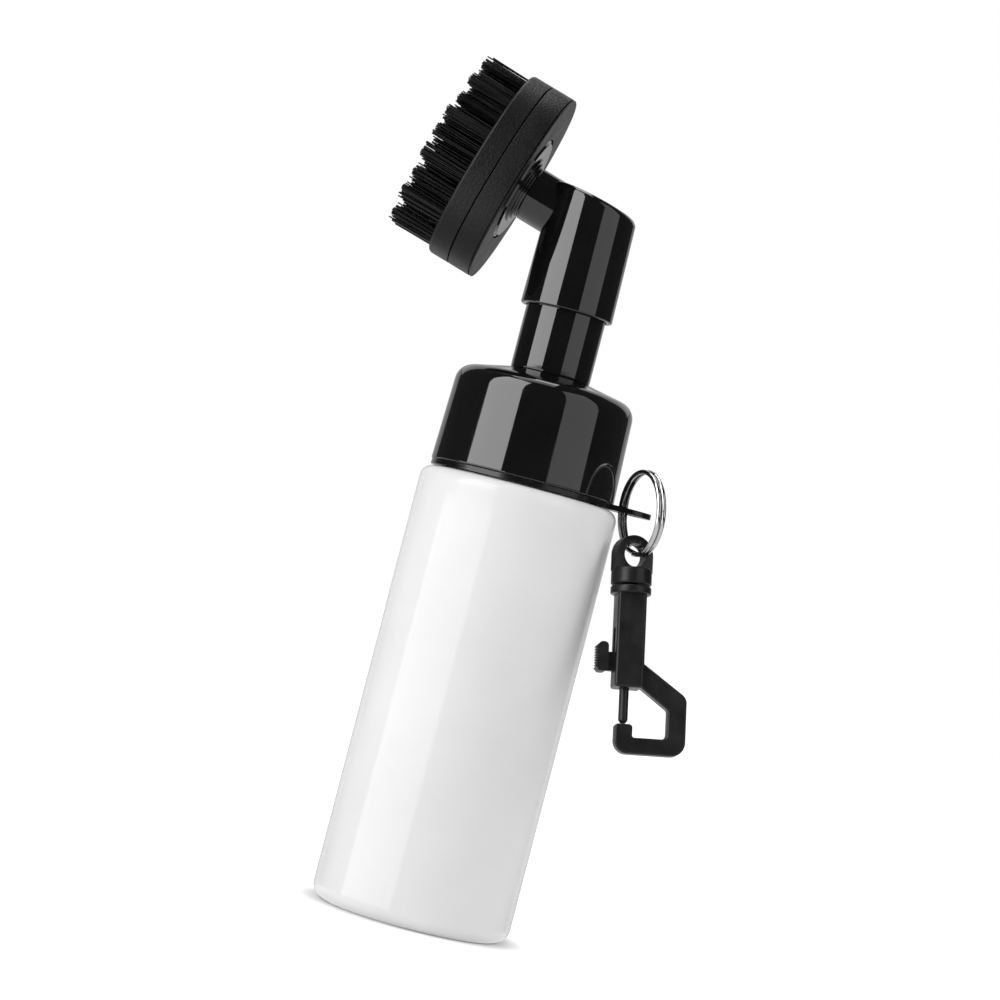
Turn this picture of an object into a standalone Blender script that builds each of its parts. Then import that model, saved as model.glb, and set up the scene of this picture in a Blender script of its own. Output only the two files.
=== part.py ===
"""Club groove brush: a water bottle with a press pump, an oval brush and a swivel snap hook.

Metres, +Z up. The origin is the centre of the flat bottle base. The brush points to -X, and the
lanyard tab with its ring and hook points to +X.
"""

import math

import bmesh
import bpy
from mathutils import Matrix, Vector

MM = 0.001

# Clearances and facets
FIT = 0.3 * MM  # between pieces that touch, slide or turn
END_CLEARANCE = 0.5 * MM  # left at the end of the press stroke
WELD = 0.001 * MM
AXIS_MERGE = 0.01 * MM  # points this near a turning axis become one
EMPTY_SIZE = 5.0 * MM
OVERCUT = 1.0 * MM  # how far a cutter runs past the surface it opens
SINK = 0.8 * MM  # how far joined shapes reach into each other
FACETS_LARGE = 36
FACETS_MEDIUM = 24
FACETS_SMALL = 12
FACETS_BRISTLE = 6
ARC_STEPS = 3

# Bottle
BOTTLE_RADIUS = 23.5 * MM
SHOULDER_HEIGHT = 103.1 * MM
BOTTLE_WALL = 1.2 * MM
BASE_WALL = 1.6 * MM
BASE_FILLET = 3.3 * MM
SHOULDER_FILLET = 2.8 * MM
SHOULDER_LEDGE = 5.7 * MM  # from the side of the bottle in to the side of the neck
NECK_WALL = 1.6 * MM
NECK_LENGTH = 17.9 * MM

# Screw thread of the neck and the collar: round beads, right-handed
THREAD_PITCH = 3.5 * MM
THREAD_BEAD = 1.0 * MM  # radius of a bead
THREAD_TURNS = 1.25
THREAD_RISE = 5.9 * MM  # from the shoulder up to the start of the neck's bead
THREAD_FACETS = 16
BEAD_OFFSET = 0.1 * MM  # from a wall to the centre line of its bead
THREAD_GAP = 1.8 * MM  # between the neck and the inside of the collar

# Lanyard tab
TAB_THICKNESS = 1.3 * MM
TAB_RIM = 0.2 * MM  # how far the washer shows outside the collar
TAB_HOLE_OUT = 2.1 * MM  # from the side of the bottle out to the hole centre
TAB_HOLE_RADIUS = 2.8 * MM
TAB_END_RADIUS = 5.4 * MM

# Collar
COLLAR_WALL = 2.3 * MM
COLLAR_DRAFT = 0.8 * MM  # the radius lost from the bottom to the shoulder of the collar
COLLAR_FILLET = 3.5 * MM
COLLAR_ROOF = 1.5 * MM
COLLAR_CROWN = 1.3 * MM  # rise of the roof from its rim to its hole
ROOF_CHAMFER = 1.2 * MM

# Pump
GASKET_THICKNESS = 1.2 * MM
FLANGE_THICKNESS = 1.8 * MM
FLANGE_INSET = 0.5 * MM  # from the collar's bead in to the rims of the pump's flanges
HOUSING_BORE = 6.8 * MM  # radius
HOUSING_WALL = 1.2 * MM
CAP_HEIGHT = 2.5 * MM
CAP_SPIGOT = 3.9 * MM
PISTON_HEIGHT = 6.0 * MM
STEM_RADIUS = 3.4 * MM
STEM_BORE = 1.8 * MM
STEM_FOOT = 1.5 * MM
STEM_FOOT_GAP = 1.2 * MM  # from the stem's foot out to the housing
STEM_PORT_RADIUS = 0.9 * MM
PRESS_TRAVEL = 11.0 * MM
SPRING_PRESSED = 6.6 * MM  # room left for the spring at full stroke
SPRING_WIRE = 0.45 * MM  # radius
SPRING_TURNS = 5
BALL_RADIUS = 2.0 * MM
BALL_PLAY = 0.5 * MM  # round the ball in its cage
BALL_LIFT = 1.2 * MM
CAGE_LIP = 1.0 * MM
CAGE_LIP_RADIUS = 1.6 * MM
THROAT_RADIUS = 1.4 * MM
THROAT_LENGTH = 1.7 * MM
SOCKET_DEPTH = 8.0 * MM
NOSE_WALL = 1.4 * MM
DIP_TUBE_RADIUS = 2.5 * MM
DIP_TUBE_BORE = 1.6 * MM
DIP_TUBE_CLEAR = 2.9 * MM  # above the bottle floor
CHIMNEY_RADIUS = 9.45 * MM
CHIMNEY_WALL = 1.55 * MM
CHIMNEY_WAIST = 0.55 * MM  # step in from the chimney to the part that passes the collar
CHIMNEY_CHAMFER = 1.2 * MM
CHIMNEY_LIFT = 0.4 * MM  # gap between the collar and the chimney's lower edge
CHIMNEY_SHOWN = 14.8 * MM
SKIRT_OVERLAP = 2.5 * MM

# Press head and spout
HEAD_WALL = 1.2 * MM
HEAD_DRAFT = 0.55 * MM
HEAD_TOP_SLOPE = math.radians(13.5)
HEAD_CROWN = 6.6 * MM  # from the spout axis up to the slanted top
HEAD_YAW = math.radians(-4.2)  # turn of the head on the chimney
BOSS_WALL = 1.5 * MM
BOSS_LENGTH = 9.5 * MM
STEM_SEAT = 2.0 * MM  # from the roof of the skirt down to the top of the stem
SPOUT_TILT = math.radians(17.0)
SPOUT_RADIUS = 6.5 * MM
SPOUT_RISE = 6.6 * MM  # from the roof of the skirt up to the spout axis
SPOUT_SHOWN = 4.65 * MM  # from the side of the head out to the spout's end
SPOUT_ROOT = 6.0 * MM  # how far the spout runs back behind the bottle axis
SPOUT_BORE = 4.4 * MM  # radius
SPOUT_BORE_DEPTH = 9.0 * MM
PASSAGE_RADIUS = 1.8 * MM
RISER_RADIUS = 1.5 * MM  # passage from the stem up to the spout

# Brush: depths are along the spout axis
BRUSH_LENGTH = 47.5 * MM
BRUSH_WIDTH = 34.0 * MM
BRUSH_ROUNDNESS = 2.3  # exponent of the oval: 2 is an ellipse
OUTLINE_POINTS = 36
BACK_THICKNESS = 5.9 * MM
PAD_THICKNESS = 5.25 * MM
BACK_FLOOR = 3.4 * MM
RIM_WALL = 1.2 * MM
PAD_LIP = 1.25 * MM
DISC_RADIUS = 13.0 * MM
DISC_THICKNESS = 1.75 * MM
DISC_PROUD = 0.15 * MM
BOSS_STEP = 0.1 * MM  # the connector's boss is this much smaller than the spout
BOSS_SHOWN = 1.9 * MM
CONNECTOR_TUBE = 4.0 * MM
SPIGOT_LENGTH = 8.6 * MM
ORING_WIRE = 0.45 * MM  # radius
ORING_INSET = 4.4 * MM  # from the spigot's end to the O-ring
ORING_SQUEEZE = 0.35 * MM  # the O-ring stands this far under the spigot's surface
OUTLET_RADIUS = 1.8 * MM
TUFT_PITCH = 5.0 * MM
TUFT_ROOT = 1.3 * MM  # radius
TUFT_TIP = 2.4 * MM  # radius
TUFT_LENGTH = 12.1 * MM
TUFT_MARGIN = 0.4 * MM  # pad left between a tuft hole and the edge of the lip
DRAW_WIRE = 0.35 * MM  # radius of the wire that holds a row
ROW_COUNT = 6

# Split ring
RING_RADIUS = 9.55 * MM  # to the middle of the wire
RING_WIRE = 0.55 * MM  # radius
RING_PITCH = 1.2 * MM  # from coil to coil
RING_JOG = 0.08  # share of a turn in which the wire changes coil
RING_POINTS = 24  # on a turn
RING_IN_HOLE = 1.2 * MM  # from the hole's centre in to the wire
RING_DROP = 0.6 * MM  # from the middle of the tab down to the ring's widest point
RING_START = math.radians(262.0)  # where on the ring the wire starts
RING_LEAN = math.radians(9.3)
RING_TURN = math.radians(65.5)

# Snap hook: heights run down from the ring's wire
EYE_ON_RING = math.radians(17.0)  # from the ring's lowest point towards the tab
EYE_HANG = 0.75 * MM  # from the wire down to the hole's centre
EYE_HOLE_RADIUS = 2.55 * MM
EYE_RADIUS = 4.65 * MM
EYE_THICKNESS = 3.0 * MM
EYE_LEG = 2.55 * MM
EYE_BASE_RADIUS = 4.7 * MM
EYE_BASE_HEIGHT = 3.6 * MM
STUD_RADIUS = 1.5 * MM
STUD_LENGTH = 3.0 * MM
STUD_HEAD_RADIUS = 2.1 * MM
STUD_HEAD_HEIGHT = 1.2 * MM
CLIP_LEAN = math.radians(11.6)
CLIP_FORWARD = math.radians(10.0)
HOOK_TURN = math.radians(7.4)
SWIVEL_GAP = 0.4 * MM
SWIVEL_FLANGE_RADIUS = 4.7 * MM
SWIVEL_FLANGE_HEIGHT = 1.9 * MM
BARREL_WIDTH = 6.7 * MM
BARREL_LENGTH = 22.4 * MM
BARREL_CORNER = 0.9 * MM
HOOK_DROP = 15.0 * MM
HOOK_THICKNESS = 3.3 * MM
HOOK_RIGHT = 13.9 * MM
HOOK_LEFT = 2.6 * MM
HOOK_BAR = 4.4 * MM
HOOK_FLOOR = 3.8 * MM
HOOK_TIP_WIDTH = 4.1 * MM
HOOK_TIP_HEIGHT = 6.8 * MM
ARM_RISE = 6.0 * MM  # the outer edge of the arm meets the barrel this far up
ARM_FALL = 1.4 * MM  # and reaches the outer knee this far below the barrel
ARM_INNER_FALL = 4.5 * MM
ARM_INNER_BEND = 1.0 * MM  # radii of the hook's corners
ARM_OUTER_BEND = 2.5 * MM
FLOOR_BEND = 1.3 * MM
TIP_ROOT_BEND = 0.5 * MM
TIP_BEND = 0.8 * MM
LEFT_BEND = 3.0 * MM
RIGHT_BEND = 3.3 * MM
BOLT_OFFSET = 0.6 * MM  # the bolt lies this far to the left of the barrel's middle
BOLT_RADIUS = 1.0 * MM
BOLT_NOSE = 0.7 * MM
BOLT_HEAD_RADIUS = 1.65 * MM
BOLT_HEAD_LENGTH = 5.5 * MM
BOLT_TRAVEL = 5.5 * MM
BOLT_SPRING_LENGTH = 7.4 * MM
BOLT_SPRING_WIRE = 0.2 * MM  # radius
BOLT_SPRING_TURNS = 4
BOLT_GUIDE = 1.7 * MM  # floor of the barrel that guides the bolt
STEM_WIDTH = 1.8 * MM  # of the knob's stem
STEM_HEIGHT = 4.3 * MM
KNOB_GAP = 1.5 * MM  # from the barrel to the knob
KNOB_DEPTH = 2.7 * MM
KNOB_WIDTH = 4.0 * MM
KNOB_HEIGHT = 6.8 * MM
KNOB_BEVEL = 0.6 * MM

# Finishes: colour, roughness, metallic
GLOSS_WHITE = ((0.90, 0.90, 0.90), 0.15, 0.0)
GLOSS_BLACK = ((0.008, 0.008, 0.009), 0.08, 0.0)
GRAINED_BLACK = ((0.016, 0.016, 0.017), 0.6, 0.0)
BRISTLE_BLACK = ((0.010, 0.010, 0.010), 0.4, 0.0)
SATIN_BLACK = ((0.014, 0.014, 0.015), 0.4, 0.0)
CHROME = ((0.75, 0.75, 0.76), 0.12, 1.0)
SPRING_STEEL = ((0.55, 0.55, 0.57), 0.3, 1.0)
NATURAL_PLASTIC = ((0.80, 0.80, 0.77), 0.35, 0.0)
RUBBER = ((0.03, 0.03, 0.03), 0.7, 0.0)

# The stack that the collar clamps, from the shoulder up
NECK_RADIUS = BOTTLE_RADIUS - SHOULDER_LEDGE
NECK_BORE = NECK_RADIUS - NECK_WALL
NECK_CREST = NECK_RADIUS + BEAD_OFFSET + THREAD_BEAD
COLLAR_BORE = NECK_RADIUS + THREAD_GAP
COLLAR_CREST = COLLAR_BORE - BEAD_OFFSET - THREAD_BEAD
COLLAR_RADIUS = COLLAR_BORE + COLLAR_WALL
FLANGE_RADIUS = COLLAR_CREST - FLANGE_INSET
NECK_TOP = SHOULDER_HEIGHT + NECK_LENGTH
TAB_LOW = SHOULDER_HEIGHT + FIT
TAB_HIGH = TAB_LOW + TAB_THICKNESS
COLLAR_LOW = TAB_HIGH + FIT
GASKET_LOW = NECK_TOP + FIT
GASKET_HIGH = GASKET_LOW + GASKET_THICKNESS
HOUSING_FLANGE_LOW = GASKET_HIGH + FIT
HOUSING_HIGH = HOUSING_FLANGE_LOW + FLANGE_THICKNESS
CHIMNEY_LOW = HOUSING_HIGH + FIT
CHIMNEY_FLANGE_HIGH = CHIMNEY_LOW + FLANGE_THICKNESS
ROOF_LOW = CHIMNEY_FLANGE_HIGH + FIT
ROOF_RIM_HIGH = ROOF_LOW + COLLAR_ROOF
ROOF_HIGH = ROOF_RIM_HIGH + COLLAR_CROWN

# The pump's own levels
SKIRT_LOW = ROOF_HIGH + CHIMNEY_LIFT + CHIMNEY_SHOWN
CHIMNEY_HIGH = SKIRT_LOW + SKIRT_OVERLAP
SKIRT_ROOF = CHIMNEY_HIGH + PRESS_TRAVEL + END_CLEARANCE
SPOUT_HEIGHT = SKIRT_ROOF + SPOUT_RISE
STEM_HIGH = SKIRT_ROOF - STEM_SEAT
CAP_LOW = CHIMNEY_LOW - CAP_SPIGOT
PISTON_HIGH = CAP_LOW - FIT
PISTON_LOW = PISTON_HIGH - PISTON_HEIGHT
FOOT_HIGH = PISTON_LOW - FIT
FOOT_LOW = FOOT_HIGH - STEM_FOOT
SPRING_HIGH = FOOT_LOW - FIT
SPRING_LOW = SPRING_HIGH - PRESS_TRAVEL - SPRING_PRESSED
HOUSING_FLOOR = SPRING_LOW - FIT
CAGE_HIGH = HOUSING_FLOOR - CAGE_LIP
CAGE_RADIUS = BALL_RADIUS + BALL_PLAY
BALL_SEATING = math.sqrt(2.0) * (BALL_RADIUS + FIT) - CAGE_RADIUS  # ball centre above the 45 degree seat
SEAT_HIGH = CAGE_HIGH - FIT - BALL_LIFT - BALL_RADIUS - BALL_SEATING
SEAT_LOW = SEAT_HIGH - CAGE_RADIUS + THROAT_RADIUS
SOCKET_HIGH = SEAT_LOW - THROAT_LENGTH
SOCKET_LOW = SOCKET_HIGH - SOCKET_DEPTH
SOCKET_RADIUS = DIP_TUBE_RADIUS + FIT
HOUSING_RADIUS = HOUSING_BORE + HOUSING_WALL
NOSE_RADIUS = SOCKET_RADIUS + NOSE_WALL
CHIMNEY_BORE = CHIMNEY_RADIUS - CHIMNEY_WALL
SKIRT_BORE = CHIMNEY_RADIUS + FIT
HEAD_RADIUS = SKIRT_BORE + HEAD_WALL
SPOUT_REACH = HEAD_RADIUS + SPOUT_SHOWN
STEM_FOOT_RADIUS = HOUSING_BORE - STEM_FOOT_GAP
STEM_SOCKET = STEM_RADIUS + FIT

# Depths of the brush along the spout axis, from the bottle axis out
BOSS_NEAR = SPOUT_REACH + FIT
BRUSH_NEAR = BOSS_NEAR + BOSS_SHOWN
DISC_NEAR = BRUSH_NEAR - DISC_PROUD
DISC_FAR = DISC_NEAR + DISC_THICKNESS
BACK_FAR = BRUSH_NEAR + BACK_THICKNESS
CHAMBER_NEAR = BRUSH_NEAR + BACK_FLOOR
PAD_NEAR = BACK_FAR + FIT
PAD_FAR = PAD_NEAR + PAD_THICKNESS
LIP_NEAR = PAD_NEAR - PAD_LIP
DRAW_WIRE_DEPTH = LIP_NEAR - FIT - DRAW_WIRE
SPIGOT_RADIUS = SPOUT_BORE - FIT
SPIGOT_NEAR = BOSS_NEAR - SPIGOT_LENGTH
TUFT_HOLE = TUFT_ROOT + FIT

# Heights of the snap hook, down from the ring's wire
EYE_HOLE_Z = -EYE_HANG
EYE_BASE_HIGH = EYE_HOLE_Z - EYE_LEG
EYE_BASE_LOW = EYE_BASE_HIGH - EYE_BASE_HEIGHT
SWIVEL_HIGH = EYE_BASE_LOW - SWIVEL_GAP
BARREL_HIGH = SWIVEL_HIGH - SWIVEL_FLANGE_HEIGHT
BARREL_LOW = BARREL_HIGH - BARREL_LENGTH
HOOK_LOW = BARREL_LOW - HOOK_DROP
HOOK_TIP_HIGH = HOOK_LOW + HOOK_TIP_HEIGHT
STUD_LOW = EYE_BASE_LOW - STUD_LENGTH
BOLT_LOW = HOOK_TIP_HIGH + FIT
BOLT_STEM_LOW = BARREL_LOW + BOLT_GUIDE + STEM_WIDTH + FIT
BOLT_HEAD_HIGH = BOLT_STEM_LOW + BOLT_HEAD_LENGTH
BOLT_BORE_RADIUS = BOLT_HEAD_RADIUS + FIT
BOLT_BORE_HIGH = BOLT_HEAD_HIGH + BOLT_SPRING_LENGTH + 2 * FIT


def new_collection(name):
    made = bpy.data.collections.new(name)
    bpy.context.scene.collection.children.link(made)
    return made


def clear_scene():
    for old in list(bpy.data.objects):
        bpy.data.objects.remove(old)


clear_scene()
PARTS = new_collection("club_groove_brush")
CUTTERS = new_collection("cutters")


def finish(name, look):
    """A Principled material of the part's own, from a colour, a roughness and a metallic value."""
    colour, roughness, metallic = look
    made = bpy.data.materials.new(name + "_finish")
    made.use_nodes = True
    shader = made.node_tree.nodes["Principled BSDF"]
    shader.inputs["Base Color"].default_value = (*colour, 1.0)
    shader.inputs["Roughness"].default_value = roughness
    shader.inputs["Metallic"].default_value = metallic
    return made


def frame(name, matrix):
    """An empty that carries the pieces of one moving group."""
    made = bpy.data.objects.new(name, None)
    made.empty_display_size = EMPTY_SIZE
    made.matrix_world = matrix
    PARTS.objects.link(made)
    return made


def part(name, data, look, parent=None):
    made = bpy.data.objects.new(name, data)
    made.parent = parent
    data.materials.append(finish(name, look))
    PARTS.objects.link(made)
    return made


def helper(name, data, parent=None):
    """A shape that only cuts or joins: never a node."""
    made = bpy.data.objects.new(name, data)
    made.parent = parent
    made.hide_render = True
    made.display_type = "WIRE"
    CUTTERS.objects.link(made)
    return made


def boolean(target, other, operation):
    modifier = target.modifiers.new(other.name, "BOOLEAN")
    modifier.operation = operation
    modifier.solver = "EXACT"
    modifier.object = other


def cut(target, *cutters):
    for other in cutters:
        boolean(target, other, "DIFFERENCE")


def join(target, *others):
    for other in others:
        boolean(target, other, "UNION")


def profile_mesh(name, points, closed):
    """The half section (radius, height) of a turned shape, as edges in the XZ plane."""
    mesh = bpy.data.meshes.new(name)
    count = len(points)
    edges = [(i, (i + 1) % count) for i in range(count if closed else count - 1)]
    mesh.from_pydata([(radius, 0.0, height) for radius, height in points], edges, [])
    return mesh


def turn(target, facets):
    """Turn a half section about Z. The section runs down its outer side."""
    modifier = target.modifiers.new("turn", "SCREW")
    modifier.axis = "Z"
    modifier.angle = math.tau
    modifier.steps = facets
    modifier.render_steps = facets
    modifier.use_merge_vertices = True
    modifier.merge_threshold = AXIS_MERGE
    modifier.use_smooth_shade = True
    return target


def turned(name, points, look, facets, closed=True, parent=None):
    return turn(part(name, profile_mesh(name, points, closed), look, parent), facets)


def arc(centre, radius, start, end, steps=ARC_STEPS):
    """Points on an arc, with its angles in degrees."""
    x, y = centre
    angles = [math.radians(start + (end - start) * i / steps) for i in range(steps + 1)]
    return [(x + radius * math.cos(a), y + radius * math.sin(a)) for a in angles]


def rod(name, radius, low, high, facets, parent=None, at=(0.0, 0.0)):
    """A round helper along Z. Its corners are turned off the axes, so that cuts stay clean."""
    place = Matrix.Translation((*at, (low + high) / 2))
    shape = bmesh.new()
    bmesh.ops.create_cone(
        shape,
        cap_ends=True,
        segments=facets,
        radius1=radius,
        radius2=radius,
        depth=high - low,
        matrix=place @ Matrix.Rotation(math.tau / facets / 4, 4, "Z"),
    )
    return helper(name, mesh_from(name, shape), parent)


def block_mesh(name, low, high):
    shape = bmesh.new()
    bmesh.ops.create_cube(shape, size=1.0)
    size = Vector(high) - Vector(low)
    bmesh.ops.scale(shape, verts=shape.verts, vec=size)
    bmesh.ops.translate(shape, verts=shape.verts, vec=(Vector(low) + Vector(high)) / 2)
    return mesh_from(name, shape)


def mesh_from(name, shape):
    mesh = bpy.data.meshes.new(name)
    shape.to_mesh(mesh)
    shape.free()
    return mesh


def curve_of(name, lines, cyclic):
    curve = bpy.data.curves.new(name, "CURVE")
    for points in lines:
        spline = curve.splines.new("POLY")
        spline.points.add(len(points) - 1)
        for target, place in zip(spline.points, points):
            target.co = (*place, 1.0)
        spline.use_cyclic_u = cyclic
    return curve


def wire_curve(name, points, radius):
    """A round wire along a line of points."""
    curve = curve_of(name, [points], cyclic=False)
    curve.dimensions = "3D"
    curve.bevel_depth = radius
    curve.bevel_resolution = 1
    curve.use_fill_caps = True
    return curve


def mesh_of(curve):
    """The closed mesh of a curve, for shapes that are cut or joined."""
    holder = bpy.data.objects.new("holder", curve)
    bpy.context.scene.collection.objects.link(holder)
    graph = bpy.context.evaluated_depsgraph_get()
    mesh = bpy.data.meshes.new_from_object(holder.evaluated_get(graph))
    bpy.data.objects.remove(holder)
    shape = bmesh.new()
    shape.from_mesh(mesh)
    bmesh.ops.remove_doubles(shape, verts=shape.verts, dist=WELD)
    bmesh.ops.recalc_face_normals(shape, faces=shape.faces)
    shape.to_mesh(mesh)
    shape.free()
    return mesh


def plate_mesh(name, outlines, low, high):
    """A flat outline with its holes, from one height to another."""
    lines = [[(x, y, 0.0) for x, y in outline] for outline in outlines]
    curve = curve_of(name, lines, cyclic=True)
    curve.dimensions = "2D"
    curve.fill_mode = "BOTH"
    curve.extrude = (high - low) / 2
    mesh = mesh_of(curve)
    mesh.transform(Matrix.Translation((0.0, 0.0, (low + high) / 2)))
    return mesh


def upright(mesh):
    """Stand a plate on edge: its outline's Y becomes Z, centred on the plane Y = 0."""
    mesh.transform(Matrix.Rotation(math.pi / 2, 4, "X"))
    return mesh


def rounded(corners):
    """A closed outline of (x, y, radius) corners, each corner an arc."""
    points = []
    for i, (x, y, radius) in enumerate(corners):
        here = Vector((x, y))
        if radius == 0:
            points.append((x, y))
            continue
        before = (Vector(corners[i - 1][:2]) - here).normalized()
        after = (Vector(corners[(i + 1) % len(corners)][:2]) - here).normalized()
        half = before.angle(after) / 2
        centre = here + (before + after).normalized() * radius / math.sin(half)
        start = here + before * radius / math.tan(half) - centre
        end = here + after * radius / math.tan(half) - centre
        first = math.degrees(math.atan2(start.y, start.x))
        sweep = math.degrees(math.atan2(end.y, end.x)) - first
        sweep = (sweep + 180.0) % 360.0 - 180.0
        points += arc(centre, radius, first, first + sweep)
    return points


def circle(radius, facets, centre=(0.0, 0.0)):
    return arc(centre, radius, 0.0, 360.0, facets)[:-1]


def oval(inset=0.0, phase=0.0):
    """The outline of the brush, or one inside it whose points are shifted by a share of a step."""
    power = 2.0 / BRUSH_ROUNDNESS
    points = []
    for i in range(OUTLINE_POINTS):
        angle = math.tau * (i + phase) / OUTLINE_POINTS
        along, across = math.cos(angle), math.sin(angle)
        x = math.copysign(abs(along) ** power, along) * (BRUSH_LENGTH / 2 - inset)
        y = math.copysign(abs(across) ** power, across) * (BRUSH_WIDTH / 2 - inset)
        points.append((x, y))
    return points


def inner_oval(inset):
    """Its points lie off the lines between the outer outline's points, so that cuts stay clean."""
    return oval(inset, phase=0.5)


def helix(radius, low, high, turns, facets):
    count = round(turns * facets)
    points = []
    for i in range(count + 1):
        angle = math.tau * turns * i / count
        height = low + (high - low) * i / count
        points.append((radius * math.cos(angle), radius * math.sin(angle), height))
    return points


def thread_bead(name, radius, start):
    rise = THREAD_PITCH * THREAD_TURNS
    line = helix(radius, start, start + rise, THREAD_TURNS, THREAD_FACETS)
    return helper(name, mesh_of(wire_curve(name, line, THREAD_BEAD)))


def coil_spring(name, radius, wire, low, high, turns, facets, parent=None):
    line = helix(radius, low + wire, high - wire, turns, facets)
    return part(name, wire_curve(name, line, wire), SPRING_STEEL, parent)


# Bottle and lanyard tab


def make_bottle():
    inner = BOTTLE_RADIUS - BOTTLE_WALL
    inner_base = BASE_FILLET - BOTTLE_WALL
    inner_shoulder = SHOULDER_FILLET - BOTTLE_WALL
    under_shoulder = SHOULDER_HEIGHT - BOTTLE_WALL
    inside = [(0.0, BASE_WALL)]
    inside += arc((inner - inner_base, BASE_WALL + inner_base), inner_base, -90, 0)
    inside += arc((inner - inner_shoulder, under_shoulder - inner_shoulder), inner_shoulder, 0, 90)
    inside += [(NECK_BORE, under_shoulder), (NECK_BORE, NECK_TOP)]
    side = BOTTLE_RADIUS - SHOULDER_FILLET
    outside = [(NECK_RADIUS, NECK_TOP), (NECK_RADIUS, SHOULDER_HEIGHT)]
    outside += arc((side, SHOULDER_HEIGHT - SHOULDER_FILLET), SHOULDER_FILLET, 90, 0)
    outside += arc((BOTTLE_RADIUS - BASE_FILLET, BASE_FILLET), BASE_FILLET, 0, -90)
    outside += [(0.0, 0.0)]
    bottle = turned("bottle", inside + outside, GLOSS_WHITE, FACETS_LARGE, closed=False)
    start = SHOULDER_HEIGHT + THREAD_RISE
    join(bottle, thread_bead("neck_thread", NECK_RADIUS + BEAD_OFFSET, start))


def make_lanyard_tab():
    radius = COLLAR_RADIUS + TAB_RIM
    hole = (BOTTLE_RADIUS + TAB_HOLE_OUT, 0.0)
    opening = math.degrees(math.asin(TAB_END_RADIUS / radius))
    outline = arc((0.0, 0.0), radius, opening, 360.0 - opening, FACETS_LARGE)
    outline += arc(hole, TAB_END_RADIUS, -90.0, 90.0, FACETS_SMALL)
    holes = [circle(NECK_CREST + FIT, FACETS_LARGE), circle(TAB_HOLE_RADIUS, FACETS_SMALL, hole)]
    part("lanyard_tab", plate_mesh("lanyard_tab", [outline, *holes], TAB_LOW, TAB_HIGH), SATIN_BLACK)


# Collar and pump


def make_collar():
    shoulder = COLLAR_RADIUS - COLLAR_DRAFT
    corner = (shoulder - COLLAR_FILLET, ROOF_RIM_HIGH - COLLAR_FILLET)
    hole = CHIMNEY_RADIUS + FIT
    section = [(hole, ROOF_HIGH)]
    section += arc(corner, COLLAR_FILLET, 90, 0)
    section += [
        (COLLAR_RADIUS, COLLAR_LOW),
        (COLLAR_BORE, COLLAR_LOW),
        (COLLAR_BORE, ROOF_LOW - ROOF_CHAMFER),
        (COLLAR_BORE - ROOF_CHAMFER, ROOF_LOW),
        (hole, ROOF_LOW),
    ]
    collar = turned("collar", section, GLOSS_BLACK, FACETS_LARGE)
    start = SHOULDER_HEIGHT + THREAD_RISE - THREAD_PITCH / 2
    join(collar, thread_bead("collar_thread", COLLAR_BORE - BEAD_OFFSET, start))


def ring_section(inner, outer, low, high):
    return [(outer, high), (outer, low), (inner, low), (inner, high)]


def make_pump_body():
    section = ring_section(NECK_BORE, FLANGE_RADIUS, GASKET_LOW, GASKET_HIGH)
    turned("neck_gasket", section, RUBBER, FACETS_MEDIUM)

    shell = HOUSING_RADIUS - NOSE_RADIUS
    nose_high = CAGE_HIGH - shell
    section = [
        (FLANGE_RADIUS, HOUSING_HIGH),
        (FLANGE_RADIUS, HOUSING_FLANGE_LOW),
        (HOUSING_RADIUS, HOUSING_FLANGE_LOW),
        (HOUSING_RADIUS, CAGE_HIGH),
        (NOSE_RADIUS, nose_high),
        (NOSE_RADIUS, SOCKET_LOW),
        (SOCKET_RADIUS, SOCKET_LOW),
        (SOCKET_RADIUS, SOCKET_HIGH),
        (THROAT_RADIUS, SOCKET_HIGH),
        (THROAT_RADIUS, SEAT_LOW),
        (CAGE_RADIUS, SEAT_HIGH),
        (CAGE_RADIUS, CAGE_HIGH),
        (CAGE_LIP_RADIUS, CAGE_HIGH),
        (CAGE_LIP_RADIUS, HOUSING_FLOOR),
        (HOUSING_BORE, HOUSING_FLOOR),
        (HOUSING_BORE, HOUSING_HIGH),
    ]
    turned("pump_housing", section, NATURAL_PLASTIC, FACETS_MEDIUM)

    section = [
        (CHIMNEY_BORE - FIT, CHIMNEY_LOW + CAP_HEIGHT),
        (CHIMNEY_BORE - FIT, CHIMNEY_LOW),
        (HOUSING_BORE - FIT, CHIMNEY_LOW),
        (HOUSING_BORE - FIT, CAP_LOW),
        (STEM_SOCKET, CAP_LOW),
        (STEM_SOCKET, CHIMNEY_LOW + CAP_HEIGHT),
    ]
    turned("housing_cap", section, NATURAL_PLASTIC, FACETS_MEDIUM)

    waist = CHIMNEY_RADIUS - CHIMNEY_WAIST
    edge = ROOF_HIGH + CHIMNEY_LIFT
    section = [
        (CHIMNEY_RADIUS, CHIMNEY_HIGH),
        (CHIMNEY_RADIUS, edge + CHIMNEY_CHAMFER),
        (waist, edge),
        (waist, CHIMNEY_FLANGE_HIGH),
        (FLANGE_RADIUS, CHIMNEY_FLANGE_HIGH),
        (FLANGE_RADIUS, CHIMNEY_LOW),
        (CHIMNEY_BORE, CHIMNEY_LOW),
        (CHIMNEY_BORE, CHIMNEY_HIGH),
    ]
    turned("chimney", section, GLOSS_BLACK, FACETS_LARGE)

    low = BASE_WALL + DIP_TUBE_CLEAR
    section = ring_section(DIP_TUBE_BORE, DIP_TUBE_RADIUS, low, SOCKET_HIGH - FIT)
    turned("dip_tube", section, NATURAL_PLASTIC, FACETS_SMALL)


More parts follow.
